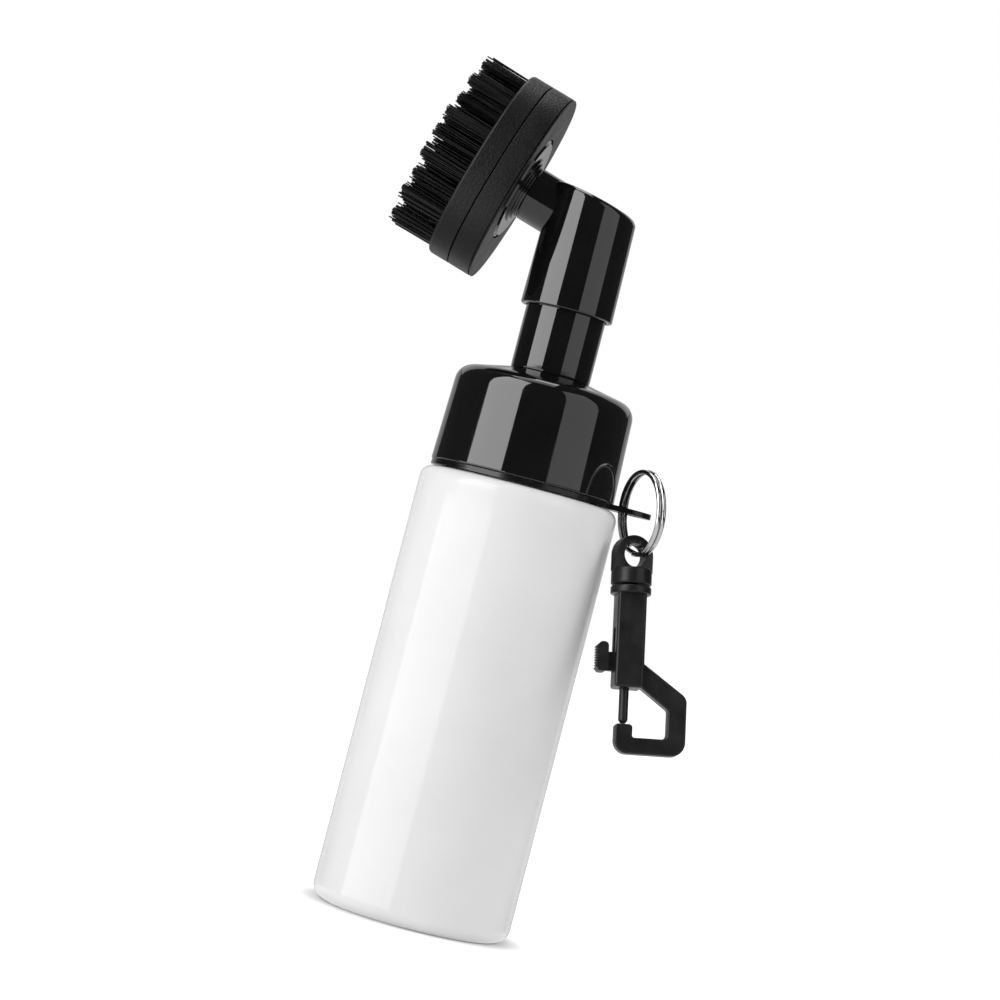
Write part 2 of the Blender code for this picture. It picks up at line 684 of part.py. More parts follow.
def make_inlet_ball():
    shape = bmesh.new()
    bmesh.ops.create_uvsphere(
        shape, u_segments=FACETS_SMALL, v_segments=FACETS_SMALL // 2, radius=BALL_RADIUS
    )
    ball = part("inlet_ball", mesh_from("inlet_ball", shape), SPRING_STEEL)
    ball.location.z = SEAT_HIGH + BALL_SEATING
    ball.data.shade_smooth()


def make_piston():
    coil = (STEM_FOOT_RADIUS + CAGE_LIP_RADIUS) / 2 + SPRING_WIRE
    coil_spring(
        "return_spring", coil, SPRING_WIRE, SPRING_LOW, SPRING_HIGH, SPRING_TURNS, FACETS_SMALL
    )
    section = ring_section(STEM_SOCKET, HOUSING_BORE - FIT, PISTON_LOW, PISTON_HIGH)
    turned("piston_seal", section, RUBBER, FACETS_MEDIUM)

    port_low = FOOT_HIGH + FIT
    port_middle = port_low + STEM_PORT_RADIUS
    section = [
        (STEM_RADIUS, STEM_HIGH),
        (STEM_RADIUS, FOOT_HIGH),
        (STEM_FOOT_RADIUS, FOOT_HIGH),
        (STEM_FOOT_RADIUS, FOOT_LOW),
        (0.0, FOOT_LOW),
    ]
    bore = [(0.0, port_low), (STEM_BORE, port_low), (STEM_BORE, STEM_HIGH)]
    stem = turned("piston_stem", bore + section, NATURAL_PLASTIC, FACETS_SMALL, closed=False)
    port = rod("stem_port", STEM_PORT_RADIUS, -STEM_SOCKET, STEM_SOCKET, FACETS_SMALL)
    port.matrix_world = Matrix.Translation((0, 0, port_middle)) @ Matrix.Rotation(math.pi / 2, 4, "Y")
    cut(stem, port)


# Press head


def make_pump_head(spout_frame):
    tall = SPOUT_HEIGHT + HEAD_CROWN + HEAD_RADIUS
    section = [
        (0.0, tall),
        (HEAD_RADIUS - HEAD_DRAFT, tall),
        (HEAD_RADIUS, SKIRT_LOW),
        (0.0, SKIRT_LOW),
    ]
    head = turned("pump_head", section, GLOSS_BLACK, FACETS_LARGE, closed=False)

    reach = 2 * HEAD_RADIUS
    top = helper("head_top", block_mesh("head_top", (-reach, -reach, 0.0), (reach, reach, reach)))
    crown = Matrix.Translation((0.0, 0.0, SPOUT_HEIGHT + HEAD_CROWN))
    top.matrix_world = crown @ Matrix.Rotation(HEAD_YAW, 4, "Z") @ Matrix.Rotation(HEAD_TOP_SLOPE, 4, "Y")
    cut(head, top)
    join(head, rod("spout", SPOUT_RADIUS, -SPOUT_ROOT, SPOUT_REACH, FACETS_MEDIUM, spout_frame))

    boss = STEM_SOCKET + BOSS_WALL
    boss_low = SKIRT_ROOF - BOSS_LENGTH
    hollow = [
        (SKIRT_BORE, SKIRT_ROOF),
        (SKIRT_BORE, SKIRT_LOW - OVERCUT),
        (0.0, SKIRT_LOW - OVERCUT),
    ]
    roof = [(0.0, boss_low), (boss, boss_low), (boss, SKIRT_ROOF)]
    skirt = helper("skirt_hollow", profile_mesh("skirt_hollow", roof + hollow, closed=False))
    skirt.matrix_world = Matrix.Rotation(math.tau / FACETS_LARGE / 4, 4, "Z")
    cut(head, turn(skirt, FACETS_LARGE))
    passage_near = -(RISER_RADIUS + FIT)
    bore_near = SPOUT_REACH - SPOUT_BORE_DEPTH
    cut(
        head,
        rod("stem_socket", STEM_SOCKET, boss_low - OVERCUT, STEM_HIGH + FIT, FACETS_SMALL),
        rod("rising_passage", RISER_RADIUS, STEM_HIGH, SPOUT_HEIGHT, FACETS_SMALL),
        rod("spout_passage", PASSAGE_RADIUS, passage_near, SPOUT_REACH, FACETS_SMALL, spout_frame),
        rod("spout_bore", SPOUT_BORE, bore_near, SPOUT_REACH + OVERCUT, FACETS_MEDIUM, spout_frame),
    )


# Brush


def tuft_places():
    """Where the tufts stand on the pad: a list of places along the brush for each row across it."""
    inset = RIM_WALL + FIT + TUFT_MARGIN + TUFT_HOLE
    reach = BRUSH_LENGTH / 2 - inset
    half_width = BRUSH_WIDTH / 2 - inset
    columns = int(reach / TUFT_PITCH)
    rows = []
    for row in range(ROW_COUNT):
        across = (row - (ROW_COUNT - 1) / 2) * TUFT_PITCH
        places = []
        for column in range(-columns, columns + 1):
            along = column * TUFT_PITCH
            inside = abs(along / reach) ** BRUSH_ROUNDNESS + abs(across / half_width) ** BRUSH_ROUNDNESS
            clear_of_outlet = math.hypot(along, across) > OUTLET_RADIUS + TUFT_HOLE + TUFT_MARGIN
            if inside <= 1.0 and clear_of_outlet:
                places.append(along)
        rows.append((across, places))
    return rows


def make_connector(brush_frame):
    groove = SPIGOT_RADIUS - ORING_SQUEEZE - 2 * ORING_WIRE + FIT / 2
    groove_near = SPIGOT_NEAR + ORING_INSET - ORING_WIRE - FIT
    groove_far = groove_near + 2 * (ORING_WIRE + FIT)
    boss = SPOUT_RADIUS - BOSS_STEP
    section = [
        (CONNECTOR_TUBE, CHAMBER_NEAR),
        (CONNECTOR_TUBE, DISC_FAR),
        (DISC_RADIUS, DISC_FAR),
        (DISC_RADIUS, DISC_NEAR),
        (boss, DISC_NEAR),
        (boss, BOSS_NEAR),
        (SPIGOT_RADIUS, BOSS_NEAR),
        (SPIGOT_RADIUS, groove_far),
        (groove - FIT, groove_far),
        (groove - FIT, groove_near),
        (SPIGOT_RADIUS, groove_near),
        (SPIGOT_RADIUS, SPIGOT_NEAR),
        (PASSAGE_RADIUS, SPIGOT_NEAR),
        (PASSAGE_RADIUS, CHAMBER_NEAR),
    ]
    turned("brush_connector", section, GLOSS_BLACK, FACETS_MEDIUM, parent=brush_frame)
    middle = (groove + ORING_WIRE, (groove_near + groove_far) / 2)
    section = arc(middle, ORING_WIRE, 90, -270, FACETS_SMALL // 2)[:-1]
    turned("spigot_oring", section, RUBBER, FACETS_MEDIUM, parent=brush_frame)


def make_brush_back(brush_frame):
    shell = plate_mesh("brush_back", [oval()], BRUSH_NEAR, BACK_FAR)
    back = part("brush_back", shell, GRAINED_BLACK, brush_frame)
    hollow = plate_mesh("back_hollow", [inner_oval(RIM_WALL)], CHAMBER_NEAR, BACK_FAR + OVERCUT)
    seat = (BRUSH_NEAR - OVERCUT, DISC_FAR + FIT)
    through = (BRUSH_NEAR - OVERCUT, CHAMBER_NEAR + OVERCUT)
    cut(
        back,
        helper("back_hollow", hollow, brush_frame),
        rod("disc_seat", DISC_RADIUS + FIT, *seat, FACETS_MEDIUM, brush_frame),
        rod("tube_hole", CONNECTOR_TUBE + FIT, *through, FACETS_MEDIUM, brush_frame),
    )


def make_brush_pad(brush_frame):
    slab = plate_mesh("brush_pad", [oval()], LIP_NEAR, PAD_FAR)
    pad = part("brush_pad", slab, GRAINED_BLACK, brush_frame)
    step = [oval(-OVERCUT), inner_oval(RIM_WALL + FIT)]
    rebate = plate_mesh("lip_rebate", step, LIP_NEAR - OVERCUT, PAD_NEAR)
    through = (LIP_NEAR - OVERCUT, PAD_FAR + OVERCUT)
    holes = bmesh.new()
    for across, places in tuft_places():
        for along in places:
            bmesh.ops.create_cone(
                holes,
                cap_ends=True,
                segments=FACETS_BRISTLE,
                radius1=TUFT_HOLE,
                radius2=TUFT_HOLE,
                depth=through[1] - through[0],
                matrix=Matrix.Translation((along, across, sum(through) / 2)),
            )
    cut(
        pad,
        helper("lip_rebate", rebate, brush_frame),
        rod("outlet", OUTLET_RADIUS, *through, FACETS_SMALL, brush_frame),
        helper("tuft_holes", mesh_from("tuft_holes", holes), brush_frame),
    )


def make_bristles(brush_frame):
    """Each row is drawn through the pad by one wire, which runs behind it from tuft to tuft."""
    for number, (across, places) in enumerate(tuft_places(), start=1):
        name = f"bristle_row_{number}"
        ends = [places[0] - TUFT_ROOT / 2, places[-1] + TUFT_ROOT / 2]
        line = [(along, across, DRAW_WIRE_DEPTH) for along in ends]
        row = part(name, mesh_of(wire_curve(name, line, DRAW_WIRE)), BRISTLE_BLACK, brush_frame)
        tufts = bmesh.new()
        for along in places:
            add_tuft(tufts, along, across)
        join(row, helper(name + "_tufts", mesh_from(name, tufts), brush_frame))


def add_tuft(shape, along, across):
    """A straight root in the pad, then a stretch that flares to the tips."""
    root = DRAW_WIRE_DEPTH
    made = bmesh.ops.create_cone(
        shape,
        cap_ends=True,
        segments=FACETS_BRISTLE,
        radius1=TUFT_ROOT,
        radius2=TUFT_ROOT,
        depth=PAD_FAR - root,
        matrix=Matrix.Translation((along, across, (PAD_FAR + root) / 2)),
    )
    corners = set(made["verts"])
    outer = [f for f in shape.faces if set(f.verts) <= corners and f.normal.z > 0.5]
    tip = bmesh.ops.extrude_face_region(shape, geom=outer)["geom"]
    tip = [v for v in tip if isinstance(v, bmesh.types.BMVert)]
    bmesh.ops.translate(shape, verts=tip, vec=(0.0, 0.0, TUFT_LENGTH))
    flare = TUFT_TIP / TUFT_ROOT
    centre = Matrix.Translation((-along, -across, 0.0))
    bmesh.ops.scale(shape, verts=tip, vec=(flare, flare, 1.0), space=centre)
    bmesh.ops.delete(shape, geom=outer, context="FACES_ONLY")


# Split ring and snap hook


def make_split_ring(ring_frame):
    """Two coils side by side in the XZ plane, joined by a short jog. The wire starts just after it."""
    turns = 2.0 - RING_JOG
    count = round(turns * RING_POINTS)
    line = []
    for i in range(count + 1):
        turned_by = turns * i / count
        into_jog = (turned_by - (1.0 - RING_JOG)) / RING_JOG
        share = min(max(into_jog, 0.0), 1.0)
        side = RING_PITCH * (share * share * (3.0 - 2.0 * share) - 0.5)
        angle = math.tau * turned_by + RING_START
        x = RING_RADIUS * (1.0 + math.cos(angle))
        line.append((x, side, RING_RADIUS * math.sin(angle)))
    part("split_ring", wire_curve("split_ring", line, RING_WIRE), CHROME, ring_frame)


def make_swivel_eye(eye_frame):
    foot = EYE_BASE_HIGH - SINK
    outline = [(-EYE_RADIUS, foot), (EYE_RADIUS, foot)]
    outline += arc((0.0, EYE_HOLE_Z), EYE_RADIUS, 0, 180, FACETS_SMALL)
    hole = circle(EYE_HOLE_RADIUS, FACETS_MEDIUM, (0.0, EYE_HOLE_Z))
    half = EYE_THICKNESS / 2
    arch = upright(plate_mesh("eye_arch", [outline, hole], -half, half))
    section = [
        (0.0, EYE_BASE_HIGH),
        (EYE_BASE_RADIUS, EYE_BASE_HIGH),
        (EYE_BASE_RADIUS, EYE_BASE_LOW),
        (STUD_RADIUS, EYE_BASE_LOW),
        (STUD_RADIUS, STUD_LOW),
        (STUD_HEAD_RADIUS, STUD_LOW),
        (STUD_RADIUS, STUD_LOW - STUD_HEAD_HEIGHT),
        (0.0, STUD_LOW - STUD_HEAD_HEIGHT),
    ]
    eye = turned("swivel_eye", section, SATIN_BLACK, FACETS_MEDIUM, closed=False, parent=eye_frame)
    join(eye, helper("eye_arch", arch, eye_frame))


def hook_outline():
    """The hook in its own plane: the arm out of the barrel, the bar, the floor and the tip."""
    inside = BARREL_WIDTH / 2 - SINK
    slope = (ARM_RISE + ARM_FALL) / (HOOK_RIGHT - BARREL_WIDTH / 2)
    inner = HOOK_RIGHT - HOOK_BAR
    inner_slope = ARM_INNER_FALL / (inner - BARREL_WIDTH / 2)
    tip_right = HOOK_TIP_WIDTH - HOOK_LEFT
    floor = HOOK_LOW + HOOK_FLOOR
    return rounded(
        [
            (inside, BARREL_LOW + inner_slope * SINK, 0.0),
            (inner, BARREL_LOW - ARM_INNER_FALL, ARM_INNER_BEND),
            (inner, floor, FLOOR_BEND),
            (tip_right, floor, TIP_ROOT_BEND),
            (tip_right, HOOK_TIP_HIGH, TIP_BEND),
            (-HOOK_LEFT, HOOK_TIP_HIGH, TIP_BEND),
            (-HOOK_LEFT, HOOK_LOW, LEFT_BEND),
            (HOOK_RIGHT, HOOK_LOW, RIGHT_BEND),
            (HOOK_RIGHT, BARREL_LOW - ARM_FALL, ARM_OUTER_BEND),
            (inside, BARREL_LOW + ARM_RISE + slope * SINK, 0.0),
        ]
    )


def make_hook_body(hook_frame):
    half = BARREL_WIDTH / 2
    square = [(half, half), (-half, half), (-half, -half), (half, -half)]
    outline = rounded([(x, y, BARREL_CORNER) for x, y in square])
    barrel = plate_mesh("hook_body", [outline], BARREL_LOW, BARREL_HIGH + SINK)
    body = part("hook_body", barrel, SATIN_BLACK, hook_frame)
    thick = HOOK_THICKNESS / 2
    hook = upright(plate_mesh("hook", [hook_outline()], -thick, thick))
    flange = (BARREL_HIGH, SWIVEL_HIGH)
    join(
        body,
        rod("swivel_flange", SWIVEL_FLANGE_RADIUS, *flange, FACETS_MEDIUM, hook_frame),
        helper("hook", hook, hook_frame),
    )
    at = (-BOLT_OFFSET, 0.0)
    guide = (BARREL_LOW - OVERCUT, BARREL_LOW + BOLT_GUIDE + OVERCUT)
    bore = (BARREL_LOW + BOLT_GUIDE, BOLT_BORE_HIGH)
    stud = (STUD_LOW - SINK, SWIVEL_HIGH + OVERCUT)
    head = (STUD_LOW - STUD_HEAD_HEIGHT - FIT, STUD_LOW + FIT)
    width = STEM_WIDTH / 2 + FIT
    slot_low = (-half - OVERCUT, -width, BOLT_STEM_LOW - FIT)
    slot_high = (-BOLT_OFFSET, width, BOLT_STEM_LOW + STEM_HEIGHT + BOLT_TRAVEL + FIT)
    cut(
        body,
        rod("bolt_guide", BOLT_RADIUS + FIT, *guide, FACETS_SMALL, hook_frame, at),
        rod("bolt_bore", BOLT_BORE_RADIUS, *bore, FACETS_SMALL, hook_frame, at),
        rod("stud_hole", STUD_RADIUS + FIT, *stud, FACETS_SMALL, hook_frame),
        rod("stud_chamber", STUD_HEAD_RADIUS + FIT, *head, FACETS_SMALL, hook_frame),
        helper("bolt_slot", block_mesh("bolt_slot", slot_low, slot_high), hook_frame),
    )


def make_slide_bolt(bolt_frame):
    """The bolt's own frame lies on its axis, to the left of the barrel's middle."""
    section = [
        (0.0, BOLT_HEAD_HIGH),
        (BOLT_HEAD_RADIUS, BOLT_HEAD_HIGH),
        (BOLT_HEAD_RADIUS, BOLT_STEM_LOW),
        (BOLT_RADIUS, BOLT_STEM_LOW),
        (BOLT_RADIUS, BOLT_LOW + BOLT_NOSE),
        (BOLT_RADIUS / 2, BOLT_LOW),
        (0.0, BOLT_LOW),
    ]
    bolt = turned("slide_bolt", section, SATIN_BLACK, FACETS_SMALL, closed=False, parent=bolt_frame)
    face = BOLT_OFFSET - BARREL_WIDTH / 2 - KNOB_GAP
    stem_low = (face - SINK, -STEM_WIDTH / 2, BOLT_STEM_LOW)
    stem_high = (0.0, STEM_WIDTH / 2, BOLT_STEM_LOW + STEM_HEIGHT)
    knob_low = (face - KNOB_DEPTH, -KNOB_WIDTH / 2, BOLT_STEM_LOW - FIT)
    knob_high = (face, KNOB_WIDTH / 2, BOLT_STEM_LOW - FIT + KNOB_HEIGHT)
    knob = helper("knob", block_mesh("knob", knob_low, knob_high), bolt_frame)
    edges = knob.modifiers.new("edges", "BEVEL")
    edges.width = KNOB_BEVEL
    edges.segments = 2
    join(bolt, helper("knob_stem", block_mesh("knob_stem", stem_low, stem_high), bolt_frame), knob)
    coil = BOLT_HEAD_RADIUS - BOLT_SPRING_WIRE
    low = BOLT_HEAD_HIGH + FIT
    high = low + BOLT_SPRING_LENGTH
    turns = BOLT_SPRING_TURNS
    coil_spring("bolt_spring", coil, BOLT_SPRING_WIRE, low, high, turns, FACETS_SMALL, bolt_frame)


def make_lanyard():
    lean = Matrix.Rotation(-RING_LEAN, 4, "Y") @ Matrix.Rotation(-RING_TURN, 4, "Z")
    wire = (BOTTLE_RADIUS + TAB_HOLE_OUT - RING_IN_HOLE, 0.0, (TAB_LOW + TAB_HIGH) / 2 - RING_DROP)
    ring = Matrix.Translation(wire) @ lean
    make_split_ring(frame("ring_frame", ring))

    along = RING_RADIUS * (1.0 - math.sin(EYE_ON_RING))
    down = -RING_RADIUS * math.cos(EYE_ON_RING)
    pivot = ring @ Vector((along, 0.0, down))
    hang = Matrix.Translation(pivot) @ Matrix.Rotation(-CLIP_LEAN, 4, "Y")
    hang = hang @ Matrix.Rotation(-CLIP_FORWARD, 4, "X")
    make_swivel_eye(frame("eye_frame", hang @ Matrix.Rotation(math.pi / 2 - RING_TURN, 4, "Z")))
    hook = hang @ Matrix.Rotation(HOOK_TURN, 4, "Z")
    make_hook_body(frame("hook_frame", hook))
    make_slide_bolt(frame("bolt_frame", hook @ Matrix.Translation((-BOLT_OFFSET, 0.0, 0.0))))


def make_brush(spout):
    brush_frame = frame("brush_frame", spout)
    make_connector(brush_frame)
    make_brush_back(brush_frame)
    make_brush_pad(brush_frame)
    make_bristles(brush_frame)


def main():
    spout = Matrix.Translation((0.0, 0.0, SPOUT_HEIGHT)) @ Matrix.Rotation(HEAD_YAW, 4, "Z")
    spout = spout @ Matrix.Rotation(SPOUT_TILT - math.pi / 2, 4, "Y")
    make_bottle()
    make_lanyard_tab()
    make_collar()
    make_pump_body()
    make_inlet_ball()
    make_piston()
    make_pump_head(frame("spout_frame", spout))
    make_brush(spout)
    make_lanyard()


main()
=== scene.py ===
# %% [markdown]
# # A club groove brush, piece by piece
#
# The real object is a golf brush that carries its own water: a white bottle, a black press pump, an oval
# brush on the pump's spout, and a snap hook on a split ring. A finished CAD model of it is loaded first.
# That model already has every piece in its place and on its joint, so it is kept as a frame, and this
# lesson builds the surfaces that the eye sees around it. Lengths are in metres and +Z is up.

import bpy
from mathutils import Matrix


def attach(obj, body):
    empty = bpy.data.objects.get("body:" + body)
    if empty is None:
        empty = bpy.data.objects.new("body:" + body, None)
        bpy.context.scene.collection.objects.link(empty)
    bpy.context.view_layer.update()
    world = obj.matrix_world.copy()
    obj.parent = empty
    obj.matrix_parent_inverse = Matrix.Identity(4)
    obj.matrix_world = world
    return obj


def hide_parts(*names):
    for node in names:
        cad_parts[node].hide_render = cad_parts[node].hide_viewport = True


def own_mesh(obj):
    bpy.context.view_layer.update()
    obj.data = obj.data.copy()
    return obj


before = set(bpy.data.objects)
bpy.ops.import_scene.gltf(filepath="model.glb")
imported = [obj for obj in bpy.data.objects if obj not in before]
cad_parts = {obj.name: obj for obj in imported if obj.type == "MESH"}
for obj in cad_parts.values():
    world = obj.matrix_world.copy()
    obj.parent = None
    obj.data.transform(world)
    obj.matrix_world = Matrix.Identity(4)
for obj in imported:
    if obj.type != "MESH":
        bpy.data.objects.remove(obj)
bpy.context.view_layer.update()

# %% Names used all through
import math
import random

import bpy
from mathutils import Matrix, Vector

MM = 0.001


def deselect():
    bpy.ops.object.select_all(action="DESELECT")


def take(piece):
    """Make one piece the selected and active one, as a click would."""
    deselect()
    piece.select_set(True)
    bpy.context.view_layer.objects.active = piece


# %% [markdown]
# ## The camera
#
# The photograph is taken with a long lens, almost level with the middle of the bottle, and the bottle leans
# to the right in it. A camera that is rolled about its own line of sight shows the upright bottle that way.
# Three directions describe it best: right and up in the picture, and the line back to the camera.

# %% Camera
CAMERA_PLACE = (-0.003947, -0.68716, 0.080353)
LENS, SENSOR = 106.45, 36.0  # millimetres

picture_right = Vector((0.96765, -0.00689, 0.25222)).normalized()
picture_up = Vector((-0.25231, -0.02642, 0.96729)).normalized()
backwards = picture_right.cross(picture_up).normalized()
turn = Matrix((picture_right, picture_up, backwards)).transposed().to_euler()
bpy.ops.object.camera_add(location=CAMERA_PLACE, rotation=turn)
camera = bpy.context.object
camera.name = "photo_camera"
camera.data.sensor_width = SENSOR
camera.data.lens = LENS
bpy.context.scene.camera = camera
print("camera looks along", tuple(round(c, 3) for c in -backwards))

# %% [markdown]
# ## The studio
#
# Polished black plastic shows little of its own colour: it shows the room. In the photograph each black
# cylinder carries one bright upright strip on its left and one dim strip on its right, with a near-black
# room between them and a grey wall behind. Glowing cards and a tent make that room. They are seen only in
# reflections, so the light that falls on the pieces stays plain: a soft lamp on the left, a weak one behind
# on the right and a pale sky. The floor is pale and keeps the shadow under the bottle. Further out it is
# lifted to the white of the sky, so that no horizon shows. Close to the bottle the lift is left off, so a
# ring of floor round its foot stays darker on every side: painted shade that adds to the real shadow.

# %% Floor
# Near the bottle the lift is left off, so a ring of floor round its foot stays darker: painted shade.
NEAR_LIFT, FAR_LIFT = 0.0, 0.62  # light added to the floor for the camera: under the bottle and far from it
FADE_START, FADE_END = 0.022, 0.031  # metres from the bottle's axis, where the one becomes the other

bpy.context.scene.view_settings.view_transform = "Standard"
deselect()
bpy.ops.mesh.primitive_plane_add(size=8.0)
floor = bpy.context.object
floor.name = "floor"
floor.visible_glossy = False
floor_paint = bpy.data.materials.new("pale_floor")
floor_paint.use_nodes = True
floor_nodes, floor_links = floor_paint.node_tree.nodes, floor_paint.node_tree.links
floor_shader = floor_nodes["Principled BSDF"]
floor_shader.inputs["Base Color"].default_value = (0.88, 0.88, 0.88, 1.0)
floor_shader.inputs["Roughness"].default_value = 0.9
floor_shader.inputs["Specular IOR Level"].default_value = 0.0
floor_shader.inputs["Emission Color"].default_value = (1.0, 1.0, 1.0, 1.0)
floor_path = floor_nodes.new("ShaderNodeLightPath")
floor_place = floor_nodes.new("ShaderNodeTexCoord")
distance = floor_nodes.new("ShaderNodeVectorMath")
distance.operation = "LENGTH"
# The lift fades to nothing close to the bottle, which paints shade in a ring round its foot.
fade = floor_nodes.new("ShaderNodeMapRange")
fade.interpolation_type = "SMOOTHSTEP"
fade.inputs["From Min"].default_value = FADE_START
fade.inputs["From Max"].default_value = FADE_END
fade.inputs["To Min"].default_value = NEAR_LIFT
fade.inputs["To Max"].default_value = FAR_LIFT
lift = floor_nodes.new("ShaderNodeMath")
lift.operation = "MULTIPLY"
floor_links.new(floor_place.outputs["Object"], distance.inputs[0])
floor_links.new(distance.outputs["Value"], fade.inputs["Value"])
floor_links.new(floor_path.outputs["Is Camera Ray"], lift.inputs[0])
floor_links.new(fade.outputs["Result"], lift.inputs[1])
floor_links.new(lift.outputs[0], floor_shader.inputs["Emission Strength"])
floor.data.materials.append(floor_paint)
print("the floor turns white from", FADE_START, "to", FADE_END, "m")

# %% Sky
SKY_LIGHT = 0.66  # what the sky gives to the pieces; the camera and reflections see it as white

sky = bpy.data.worlds.new("white_sky")
bpy.context.scene.world = sky
sky.use_nodes = True
sky_nodes, sky_links = sky.node_tree.nodes, sky.node_tree.links
background = sky_nodes["Background"]
background.inputs["Color"].default_value = (1.0, 1.0, 1.0, 1.0)
sky_path = sky_nodes.new("ShaderNodeLightPath")
seen = sky_nodes.new("ShaderNodeMath")
seen.operation = "MAXIMUM"
seen_through = sky_nodes.new("ShaderNodeMath")
seen_through.operation = "MAXIMUM"
sky_links.new(sky_path.outputs["Is Camera Ray"], seen_through.inputs[0])
sky_links.new(sky_path.outputs["Is Transmission Ray"], seen_through.inputs[1])
sky_links.new(seen_through.outputs[0], seen.inputs[0])
sky_links.new(sky_path.outputs["Is Glossy Ray"], seen.inputs[1])
strength = sky_nodes.new("ShaderNodeMath")
strength.operation = "MULTIPLY_ADD"
strength.inputs[1].default_value = 1.0 - SKY_LIGHT
strength.inputs[2].default_value = SKY_LIGHT
sky_links.new(seen.outputs[0], strength.inputs[0])
sky_links.new(strength.outputs[0], background.inputs["Strength"])
print("sky light", SKY_LIGHT)

# %% Cards
def reflections_only(card):
    card.visible_camera = False
    card.visible_diffuse = False
    card.visible_transmission = False
    card.visible_shadow = False


def glow(name, level):
    paint = bpy.data.materials.new(name)
    paint.use_nodes = True
    shader = paint.node_tree.nodes["Principled BSDF"]
    shader.inputs["Base Color"].default_value = (0.0, 0.0, 0.0, 1.0)
    shader.inputs["Specular IOR Level"].default_value = 0.0
    shader.inputs["Emission Color"].default_value = (1.0, 1.0, 1.0, 1.0)
    shader.inputs["Emission Strength"].default_value = level
    return paint


def round_place(bearing, distance):
    """A place round the bottle: bearing 0 is the camera's side, and positive goes to the right."""
    angle = math.radians(bearing)
    return Vector((distance * math.sin(angle), -distance * math.cos(angle), 0.0))


def card(name, bearings, distance, low, high, level):
    """An upright card between two bearings."""
    start, end = [round_place(bearing, distance) for bearing in bearings]
    deselect()
    bpy.ops.mesh.primitive_plane_add(size=1.0)
    made = bpy.context.object
    made.name = name
    across = end - start
    made.scale = (across.length, high - low, 1.0)
    made.rotation_euler = (math.pi / 2, 0.0, math.atan2(across.y, across.x))
    made.location = (start + end) / 2 + Vector((0.0, 0.0, (low + high) / 2))
    bpy.ops.object.transform_apply(location=True, rotation=True, scale=True)
    made.data.materials.append(glow(name, level))
    reflections_only(made)


CARD_DISTANCE, WALL_DISTANCE = 0.6, 0.9
STRIP_LOW, STRIP_HIGH, CARD_TOP = 0.110, 0.1235, 1.0  # heights
LEFT, RIGHT = (-75.0, -28.5), (27.0, 73.0)  # bearings of the edges of a card

# Each side has one card, whose upper part shows in the black collar and pump. A thin, dimmer strip below it
# shows in the edges that lean inwards. On the left a lower, wider card shows in the white bottle.
card("left_card", LEFT, CARD_DISTANCE, STRIP_HIGH, CARD_TOP, level=5.2)
card("left_card_edge", LEFT, CARD_DISTANCE, STRIP_LOW, STRIP_HIGH, level=1.1)
card("left_card_low", (-87.0, -23.0), CARD_DISTANCE, -0.09, STRIP_LOW, level=3.4)
card("right_card", RIGHT, CARD_DISTANCE, STRIP_HIGH, CARD_TOP, level=1.15)
card("right_card_edge", RIGHT, CARD_DISTANCE, STRIP_LOW, STRIP_HIGH, level=0.6)
# The light wall behind the object shows in the black rims. It is wider above, where the collar slopes.
card("back_low", (142.0, 218.0), WALL_DISTANCE, -0.15, 0.3, level=0.52)
card("back_high", (137.0, 223.0), WALL_DISTANCE, 0.3, 0.95, level=0.75)
print("cards stand", CARD_DISTANCE, "and", WALL_DISTANCE, "m away")

# %% Panels and tent
def panel(name, place, aim, width, height, level):
    """A flat panel that faces a point."""
    facing = (Vector(aim) - Vector(place)).to_track_quat("Z", "Y").to_euler()
    deselect()
    bpy.ops.mesh.primitive_plane_add(size=1.0, location=place, rotation=facing)
    made = bpy.context.object
    made.name = name
    made.scale = (width, height, 1.0)
    bpy.ops.object.transform_apply(location=True, rotation=True, scale=True)
    made.data.materials.append(glow(name, level))
    reflections_only(made)


# A panel overhead shows in the shoulder of the collar, fainter towards the front.
panel("top_panel", (-0.17, 0.27, 1.03), (-0.17, 0.27, 0.0), width=0.54, height=0.54, level=5.0)
panel("top_panel_front", (-0.17, -0.15, 1.03), (-0.17, -0.15, 0.0), width=0.54, height=0.3, level=1.7)

# The tent is a dark room round all this, open below.
deselect()
bpy.ops.mesh.primitive_cylinder_add(vertices=72, radius=1.2, depth=2.7, location=(0.0, 0.0, 1.2))
tent = bpy.context.object
tent.name = "dark_tent"
bpy.ops.object.transform_apply(location=True, rotation=True, scale=True)
bpy.ops.object.mode_set(mode="EDIT")
bpy.ops.mesh.select_mode(type="FACE")
bpy.ops.mesh.select_all(action="DESELECT")
bpy.ops.object.mode_set(mode="OBJECT")
for face in tent.data.polygons:
    face.select = face.normal.z < -0.5
bpy.ops.object.mode_set(mode="EDIT")
bpy.ops.mesh.delete(type="FACE")
bpy.ops.mesh.select_mode(type="VERT")
bpy.ops.object.mode_set(mode="OBJECT")
tent.data.materials.append(glow("dark_tent", 0.05))
reflections_only(tent)
print("the tent has", len(tent.data.polygons), "faces")

# %% Lamps
MIDDLE = Vector((0.0, 0.0, 0.1))  # middle of the object


def lamp(name, bearing, distance, height, size, watts):
    """A square lamp that faces the object and doesn't show in it."""
    place = round_place(bearing, distance) + Vector((0.0, 0.0, height))
    aim = (MIDDLE - place).to_track_quat("-Z", "Y").to_euler()
    bpy.ops.object.light_add(type="AREA", location=place, rotation=aim)
    made = bpy.context.object
    made.name = name
    made.data.size = size
    made.data.energy = watts
    made.visible_glossy = False
    print(name, watts, "W")


lamp("left_lamp", bearing=-55.0, distance=0.9, height=0.45, size=0.7, watts=4.0)
lamp("right_lamp", bearing=100.0, distance=0.8, height=0.5, size=0.4, watts=1.8)

